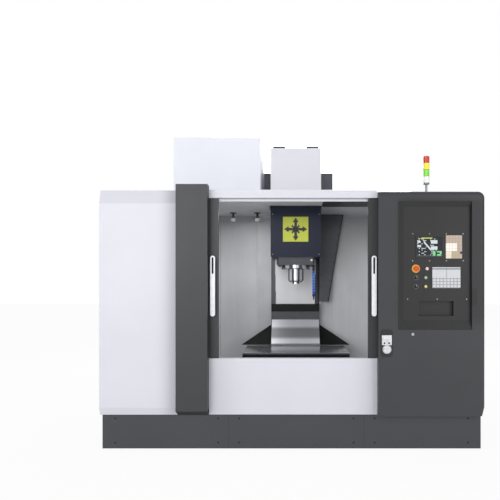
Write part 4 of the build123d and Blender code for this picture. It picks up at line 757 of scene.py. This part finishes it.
def add_frame(form, wide, tall, width, depth0, depth1):
    """A rectangular ring on a front face, its two front edges rounded: a seal round a window."""
    loops = []
    for inset, depth in ((0, depth1), (0, depth0), (width, depth0), (width, depth1)):
        left, right = wide[0] + inset, wide[1] - inset
        foot, top = tall[0] + inset, tall[1] - inset
        corners = ((left, foot), (right, foot), (right, top), (left, top))
        loops.append([form.verts.new(at(x, depth, z)) for x, z in corners])
    for near, far in zip(loops, loops[1:] + loops[:1]):
        join_loops(form, near, far)
    edges = []
    for loop in loops[1:3]:
        edges += [form.edges.get(ends) for ends in zip(loop, loop[1:] + loop[:1])]
    bmesh.ops.bevel(form, geom=edges, offset=width * 0.3 / 1000, segments=3, affect="EDGES")


def add_rings(form, rings, steps):
    """A form round the z axis from rings of (radius, height, whether a hexagon). Gives their corners."""
    loops = []
    for radius, height, hexagon in rings:
        loop = []
        for step in range(steps if radius else 1):
            angle = 2 * pi * step / steps
            flat = cos(pi / 6) / cos((angle % (pi / 3)) - pi / 6) if hexagon else 1.0
            loop.append(form.verts.new((radius * flat * cos(angle), radius * flat * sin(angle), height)))
        loops.append(loop)
    for lower, upper in zip(loops, loops[1:]):
        join_loops(form, lower, upper)
    return loops


def socket_screw():
    """A cap screw's head, 1 m across, standing on z = 0 with its hexagon socket upwards."""
    form = bmesh.new()
    loops = add_rings(form, [(0.5, 0.0, False), (0.5, 0.26, False), (0.46, 0.33, False),
                             (0.29, 0.33, True), (0.27, 0.12, True)], 18)
    form.faces.new(loops[-1])
    form.faces.new(loops[0][::-1])
    return form


def flat_rivet():
    """A blind rivet's round head, 1 m across."""
    form = bmesh.new()
    outline = ((0, 0), (0.5, 0), (0.5, 0.06), (0.42, 0.15), (0.24, 0.21), (0.09, 0.22), (0.06, 0.16),
               (0, 0.16))
    add_rings(form, [(radius, height, False) for radius, height in outline], 12)
    return form


def mesh_of_spots(name, spots):
    """A loose point for each spot, which carries its facing and its width."""
    places = bpy.data.meshes.new(name)
    places.from_pydata([spot[0] for spot in spots], [], [])
    places.attributes.new("facing", "FLOAT_VECTOR", "POINT")
    places.attributes.new("width", "FLOAT", "POINT")
    for index, (_, facing, width) in enumerate(spots):
        places.attributes["facing"].data[index].vector = facing
        places.attributes["width"].data[index].value = width / 1000
    return places


def spread_nodes(name, template, finish):
    """Geometry Nodes that set a copy of the template on each point, finished."""
    group = bpy.data.node_groups.new(name, "GeometryNodeTree")
    add_socket = group.interface.new_socket
    add_socket("Places", in_out="INPUT", socket_type="NodeSocketGeometry")
    add_socket("Width factor", in_out="INPUT", socket_type="NodeSocketFloat").default_value = 1.0
    add_socket("Copies", in_out="OUTPUT", socket_type="NodeSocketGeometry")
    make = group.nodes.new
    source, result = make("NodeGroupInput"), make("NodeGroupOutput")
    info, copies = make("GeometryNodeObjectInfo"), make("GeometryNodeInstanceOnPoints")
    facing, width = make("GeometryNodeInputNamedAttribute"), make("GeometryNodeInputNamedAttribute")
    euler, factor = make("FunctionNodeEulerToRotation"), make("ShaderNodeMath")
    real, paint = make("GeometryNodeRealizeInstances"), make("GeometryNodeSetMaterial")
    info.inputs["Object"].default_value = template
    facing.data_type, width.data_type = "FLOAT_VECTOR", "FLOAT"
    facing.inputs["Name"].default_value, width.inputs["Name"].default_value = "facing", "width"
    factor.operation = "MULTIPLY"
    paint.inputs["Material"].default_value = finish_of[finish]
    for first, output, second, socket in (
            (source, "Places", copies, "Points"), (info, "Geometry", copies, "Instance"),
            (facing, "Attribute", euler, 0), (euler, 0, copies, "Rotation"),
            (width, "Attribute", factor, 0), (source, "Width factor", factor, 1),
            (factor, 0, copies, "Scale"), (copies, "Instances", real, "Geometry"),
            (real, "Geometry", paint, "Geometry"), (paint, "Geometry", result, "Copies")):
        group.links.new(first.outputs[output], second.inputs[socket])
    return group


def scatter(name, form, finish, spots, body):
    """Copies of a form by Geometry Nodes, kept as one plain mesh.
    A spot is (place in metres, facing as Euler angles, width in millimetres)."""
    template = place_object(name + "_model", mesh_of(name + "_model", form))
    holder = place_object(name + "_places", mesh_of_spots(name + "_places", spots))
    spread = holder.modifiers.new("spread", "NODES")
    spread.node_group = spread_nodes(name + "_spread", template, finish)
    graph = bpy.context.evaluated_depsgraph_get()
    mesh = bpy.data.meshes.new_from_object(holder.evaluated_get(graph))
    mesh.name = name
    holder.modifiers.remove(spread)
    bpy.data.objects.remove(holder)
    bpy.data.objects.remove(template)
    made = place_object(name, mesh)
    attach(made, body)


faces_front, faces_back = (pi / 2, 0, 0), (-pi / 2, 0, 0)
faces_left, faces_right = (0, -pi / 2, 0), (0, pi / 2, 0)


def row(first, last, count, facing, width):
    """Spots in a straight row between two points of (x, depth, z), ends included."""
    first, last = at(*first), at(*last)
    return [(first.lerp(last, step / (count - 1)), facing, width) for step in range(count)]


# Sub-parts that the CAD leaves to the looks

sign_wide, sign_tall, sign_thickness = (-96, 185), (2035, 2310), 1.6


def seal_windows():
    """Rubber round both faces of each pane."""
    inset, width, thickness, gap = 12.2, 15, 8, 0.2
    for side in ("left", "right"):
        (left, right), (front, back), (foot, top) = span(side + "_window")
        wide, tall = (left + inset, right - inset), (foot + inset, top - inset)
        form = bmesh.new()
        add_frame(form, wide, tall, width, front - thickness, front - gap)
        add_frame(form, wide, tall, width, back + gap, back + thickness)
        piece(side + "_window_seal", form, "rubber", side + "_door")


def seal_pillar_foot():
    """The strip that closes the corner between the pillar's set-back foot and the apron."""
    outside, inside, depths, height = 34, 4, (22, 34), 90
    edge, plinth_top = span("front_apron")[0][0], span("plinth")[2][1]
    form = bmesh.new()
    add_block(form, (edge - outside, edge + inside), depths, (plinth_top, plinth_top + height))
    piece("pillar_foot_seal", form, "rubber")


def line_handles():
    """The dark inlay in the upper part of each handle."""
    radius, length, top_gap, face, back = 8.6, 158, 13.5, 4.6, 5.8
    for side in ("left", "right"):
        wide, (front, _), (_, top) = span(side + "_handle")
        inlay_top = top - top_gap
        form = bmesh.new()
        add_stadium(form, halfway(wide), inlay_top - length, inlay_top, radius, front + face, front + back)
        piece(side + "_handle_inlay", form, "recess", side + "_door")


def mark_head():
    """The yellow-green plate on the head: four plain arrows for the directions of travel."""
    head_front = span("head_cover_lower")[1][0]
    plate_face, arrow_face, stud_face = head_front - sign_thickness, head_front - 2.5, head_front - 2.9
    form = bmesh.new()
    add_block(form, sign_wide, (plate_face, head_front - 0.1), sign_tall, 0.6)
    piece("head_sign_plate", form, "sign", "head")
    middle_x, middle_z, stud = halfway(sign_wide), halfway(sign_tall), 12
    arm_start, arm_end, arm_width = 10, 86, 30
    tip_start, tip_end, tip_half_width = 78, 128, 34
    short_start, short_end, short_width = 12, 58, 20
    figure = bmesh.new()

    def on_arm(angle, along, across=0):
        return (middle_x + cos(angle) * along - sin(angle) * across,
                middle_z + sin(angle) * along + cos(angle) * across)

    for quarter in range(4):
        angle = quarter * pi / 2
        add_bar(figure, on_arm(angle, arm_start), on_arm(angle, arm_end), arm_width, arrow_face, plate_face)
        tip = [on_arm(angle, tip_start, tip_half_width), on_arm(angle, tip_start, -tip_half_width),
               on_arm(angle, tip_end)]
        add_plate(figure, tip, arrow_face, plate_face)
        between = angle + pi / 4
        add_bar(figure, on_arm(between, short_start), on_arm(between, short_end), short_width,
                arrow_face, plate_face)
    add_stadium(figure, middle_x, middle_z - stud, middle_z + stud, stud, stud_face, plate_face)
    piece("head_sign_figure", figure, "sign_dark", "head")


def sleeve_bars():
    """Black sleeves over the two bars on top of the head's cover."""
    inset, half_width, edge = 92.4, 68, 3
    (left, right), (front, _), _ = span("head_cover_upper")
    deep, tall = (front + 28, front + 132), (head_cover_top + 0.3, 3098)
    form = bmesh.new()
    for middle in (left + inset, right - inset):
        add_block(form, (middle - half_width, middle + half_width), deep, tall, edge)
    piece("head_bar_sleeves", form, "recess", "head")


def line_covers():
    """The folded lip along the foot of the head's steel cover."""
    inset, thickness, gap, rise, height, edge = 2, 2.0, 0.1, 0.5, 7, 0.8
    (left, right), (front, _), (foot, _) = span("way_cover_top")
    form = bmesh.new()
    add_block(form, (left + inset, right - inset), (front - thickness, front - gap),
              (foot + rise, foot + height), edge)
    piece("cover_lip", form, "way_cover", "head")


def line_knobs():
    """The pale mark on each selector's knob."""
    half_width, proud, sunk, edge = 1.1, 0.4, 0.1, 0.2
    for name in ("selector_upper", "selector_lower"):
        wide, (front, _), tall = span(name)
        middle = halfway(wide)
        form = bmesh.new()
        add_block(form, (middle - half_width, middle + half_width), (front - proud, front + sunk),
                  (halfway(tall) + 1, tall[1] - 4.5), edge)
        piece(name + "_pointer", form, "handle", name)


def panel_screws():
    """The screws of the operator's panel."""
    face, width = -38, 13
    columns, foot_columns = (1141, 1299, 1458, 1616), (1092, 1371, 1649)
    levels = ((2045, columns), (1790.5, columns), (1429, foot_columns))
    return [(at(x, face, z), faces_front, width) for z, places in levels for x in places]


def fasten_enclosure():
    """Screws of the operator's panel, the rear sheets, both sides and the magazine's cover."""
    width, cover_width, inset = 16, 14, 40
    beside_seams = (1310, 1390, 610, 690)
    screws = panel_screws()
    (left, _), (_, back), _ = span("left_housing")
    for z in (420, 1370, 2300):
        screws += row((left + 60, back, z), (-500, back, z), 6, faces_back, width)
        screws += row((1640, back, z), (1780, back, z), 2, faces_back, width)
    for depth in beside_seams:
        screws += row((left, depth, 420), (left, depth, 2280), 6, faces_left, width)
    right = span("right_cabinet")[0][1]
    for depth in beside_seams:
        screws += row((right, depth, 460), (right, depth, 2330), 6, faces_right, width)
    (left, right), (front, back), (foot, _) = span("magazine_cover")
    level = foot + 22
    screws += row((left, front + inset, level), (left, back - inset, level), 5, faces_left, cover_width)
    screws += row((left + inset, back, level), (right - inset, back, level), 6, faces_back, cover_width)
    scatter("enclosure_screws", socket_screw(), "screw", screws, "frame")


def fasten_guards():
    """Rivets along the slanted guard's two edges, and on the front of the plinth."""
    guard_front, foot, top = 1559.9, 1380, 2280
    rivets = row((595, guard_front, top), (455, guard_front, foot), 9, faces_front, 14)
    rivets += row((365, guard_front, top), (365, guard_front, foot), 7, faces_front, 12)
    plinth_front = span("plinth")[1][0]
    for x in (-1680, -700, -500, 590, 790, 1680):
        rivets += row((x, plinth_front, 60), (x, plinth_front, 290), 2, faces_front, 18)
    scatter("guard_rivets", flat_rivet(), "rivet", rivets, "frame")


def fasten_head():
    """Rivets at the sign's corners, on the lower cover's front and on the upper cover's sides."""
    sign_inset, inset, end_inset = 12, 22, 60
    sign_width, front_width, side_width = 9, 11, 14
    (left, right), (front, _), _ = span("head_cover_lower")
    rivets = []
    for x in (sign_wide[0] + sign_inset, sign_wide[1] - sign_inset):
        for z in (sign_tall[0] + sign_inset, sign_tall[1] - sign_inset):
            rivets.append((at(x, front - sign_thickness, z), faces_front, sign_width))
    for x in (left + inset, right - inset):
        rivets += row((x, front, 1895), (x, front, 2340), 2, faces_front, front_width)
    (left, right), (front, back), _ = span("head_cover_upper")
    for x, facing in ((left, faces_left), (right, faces_right)):
        for z in (2500, 3020):
            rivets += row((x, front + end_inset, z), (x, back - end_inset, z), 4, facing, side_width)
    scatter("head_rivets", flat_rivet(), "screw", rivets, "head")


def fasten_rear_door():
    """Screws along the foot and the top of the electrical cabinet's door."""
    left_inset, right_inset, end_inset, depth_inset = 20, 40, 20, 34
    (left, right), (_, back), (foot, top) = span("electric_door")
    face = back - depth_inset
    screws = []
    for z in (foot + end_inset, top - end_inset):
        screws += row((left + left_inset, face, z), (right - right_inset, face, z), 6, faces_back, 14)
    scatter("rear_door_screws", socket_screw(), "screw", screws, "electric_door")


seal_windows()
seal_pillar_foot()
line_handles()
mark_head()
sleeve_bars()
line_covers()
line_knobs()
fasten_enclosure()
fasten_guards()
fasten_head()
fasten_rear_door()


# Camera, light and floor


def set_camera():
    """The photograph's view: a level camera in front of the doors, its picture shifted."""
    distance, height = 5.0, 1.6
    camera = bpy.data.cameras.new("photo_view")
    camera.sensor_width = 36
    camera.lens = 37.9
    camera.shift_x = -0.0832
    camera.shift_y = 0.062
    camera.clip_end = 60
    holder = place_object("photo_view", camera)
    holder.location = (0, front_plane - distance, height)
    holder.rotation_euler = (pi / 2, 0, 0)
    bpy.context.scene.camera = holder


def soft_lamp(name, place, target, size, power, seen=True):
    """An area lamp. Places are (x, distance behind the header's front, z) in metres."""
    spot, aim = (Vector((x, front_plane + depth, z)) for x, depth, z in (place, target))
    lamp = bpy.data.lights.new(name, "AREA")
    lamp.shape = "RECTANGLE"
    lamp.size, lamp.size_y = size
    lamp.energy = power
    holder = place_object(name, lamp)
    holder.location = spot
    holder.rotation_euler = (aim - spot).to_track_quat("-Z", "Y").to_euler()
    holder.visible_camera = seen
    holder.visible_transmission = seen


def set_lamps():
    """Three studio lamps, and three work lamps under the ceiling that neither camera nor glass shows."""
    soft_lamp("key_light", (-3.6, -9.0, 3.4), (0, 0.5, 1.4), size=(6.0, 4.5), power=350)
    soft_lamp("fill_light", (5.5, -6.0, 2.6), (0, 0.5, 1.3), size=(3.5, 3.5), power=110)
    soft_lamp("back_light", (0.5, 8.0, 5.0), (0, 1.5, 1.4), size=(5.0, 3.0), power=220)
    lamp_height, aim_height = 2.36, 1.0
    for name, x, depth, size, power in (("work_light_left", -0.55, 1.0, (0.5, 0.8), 5),
                                        ("work_light_right", 0.72, 0.9, (0.3, 0.8), 1.3),
                                        ("work_light_middle", 0.03, 0.3, (1.0, 0.3), 3)):
        soft_lamp(name, (x, depth, lamp_height), (x, depth + 0.01, aim_height), size, power, seen=False)


def set_world():
    """A grey studio that gives light, and plain white for the camera and through glass."""
    studio_level = 0.85
    greys = [(0.3, (0.5, 0.5, 0.51, 1)), (0.5, (0.62, 0.62, 0.64, 1)), (0.8, (0.78, 0.78, 0.8, 1))]
    world = bpy.data.worlds.new("studio")
    bpy.context.scene.world = world
    sky = Nodes(world, "ShaderNodeOutputWorld", "Generated")
    grey = sky.node("ShaderNodeValToRGB", {"stops": greys}, {"Fac": sky.z * 0.5 + 0.5})
    soft = sky.node("ShaderNodeBackground", inputs={"Color": grey, "Strength": studio_level})
    plain = sky.node("ShaderNodeBackground", inputs={"Color": (1, 1, 1, 1), "Strength": 1.0})
    seen = sky.rays("Camera", "Transmission")
    sky.show(sky.node("ShaderNodeMixShader", inputs={"Fac": seen, 1: soft, 2: plain}))


def lay_floor():
    """A pale floor that shows near white to the camera and keeps the machine's shadow."""
    reach = 30
    paper = Finish("pale_floor")
    tone = paper.mix(paper.grain(900), (0.86, 0.86, 0.87, 1.0), (0.9, 0.9, 0.91, 1.0))
    matt = paper.node("ShaderNodeBsdfDiffuse", inputs={"Color": tone})
    glow = paper.node("ShaderNodeEmission", inputs={"Color": (1, 1, 1, 1), "Strength": 1.0})
    share = paper.rays("Camera", "Glossy") * 0.93
    paper.show(paper.node("ShaderNodeMixShader", inputs={"Fac": share, 1: matt, 2: glow}))
    mesh = bpy.data.meshes.new("floor")
    mesh.from_pydata([(-reach, -reach, 0), (reach, -reach, 0), (reach, reach, 0), (-reach, reach, 0)],
                     [], [(0, 1, 2, 3)])
    mesh.materials.append(paper.material)
    floor = place_object("floor", mesh)


bpy.context.scene.view_settings.view_transform = "Standard"
set_camera()
set_lamps()
set_world()
lay_floor()
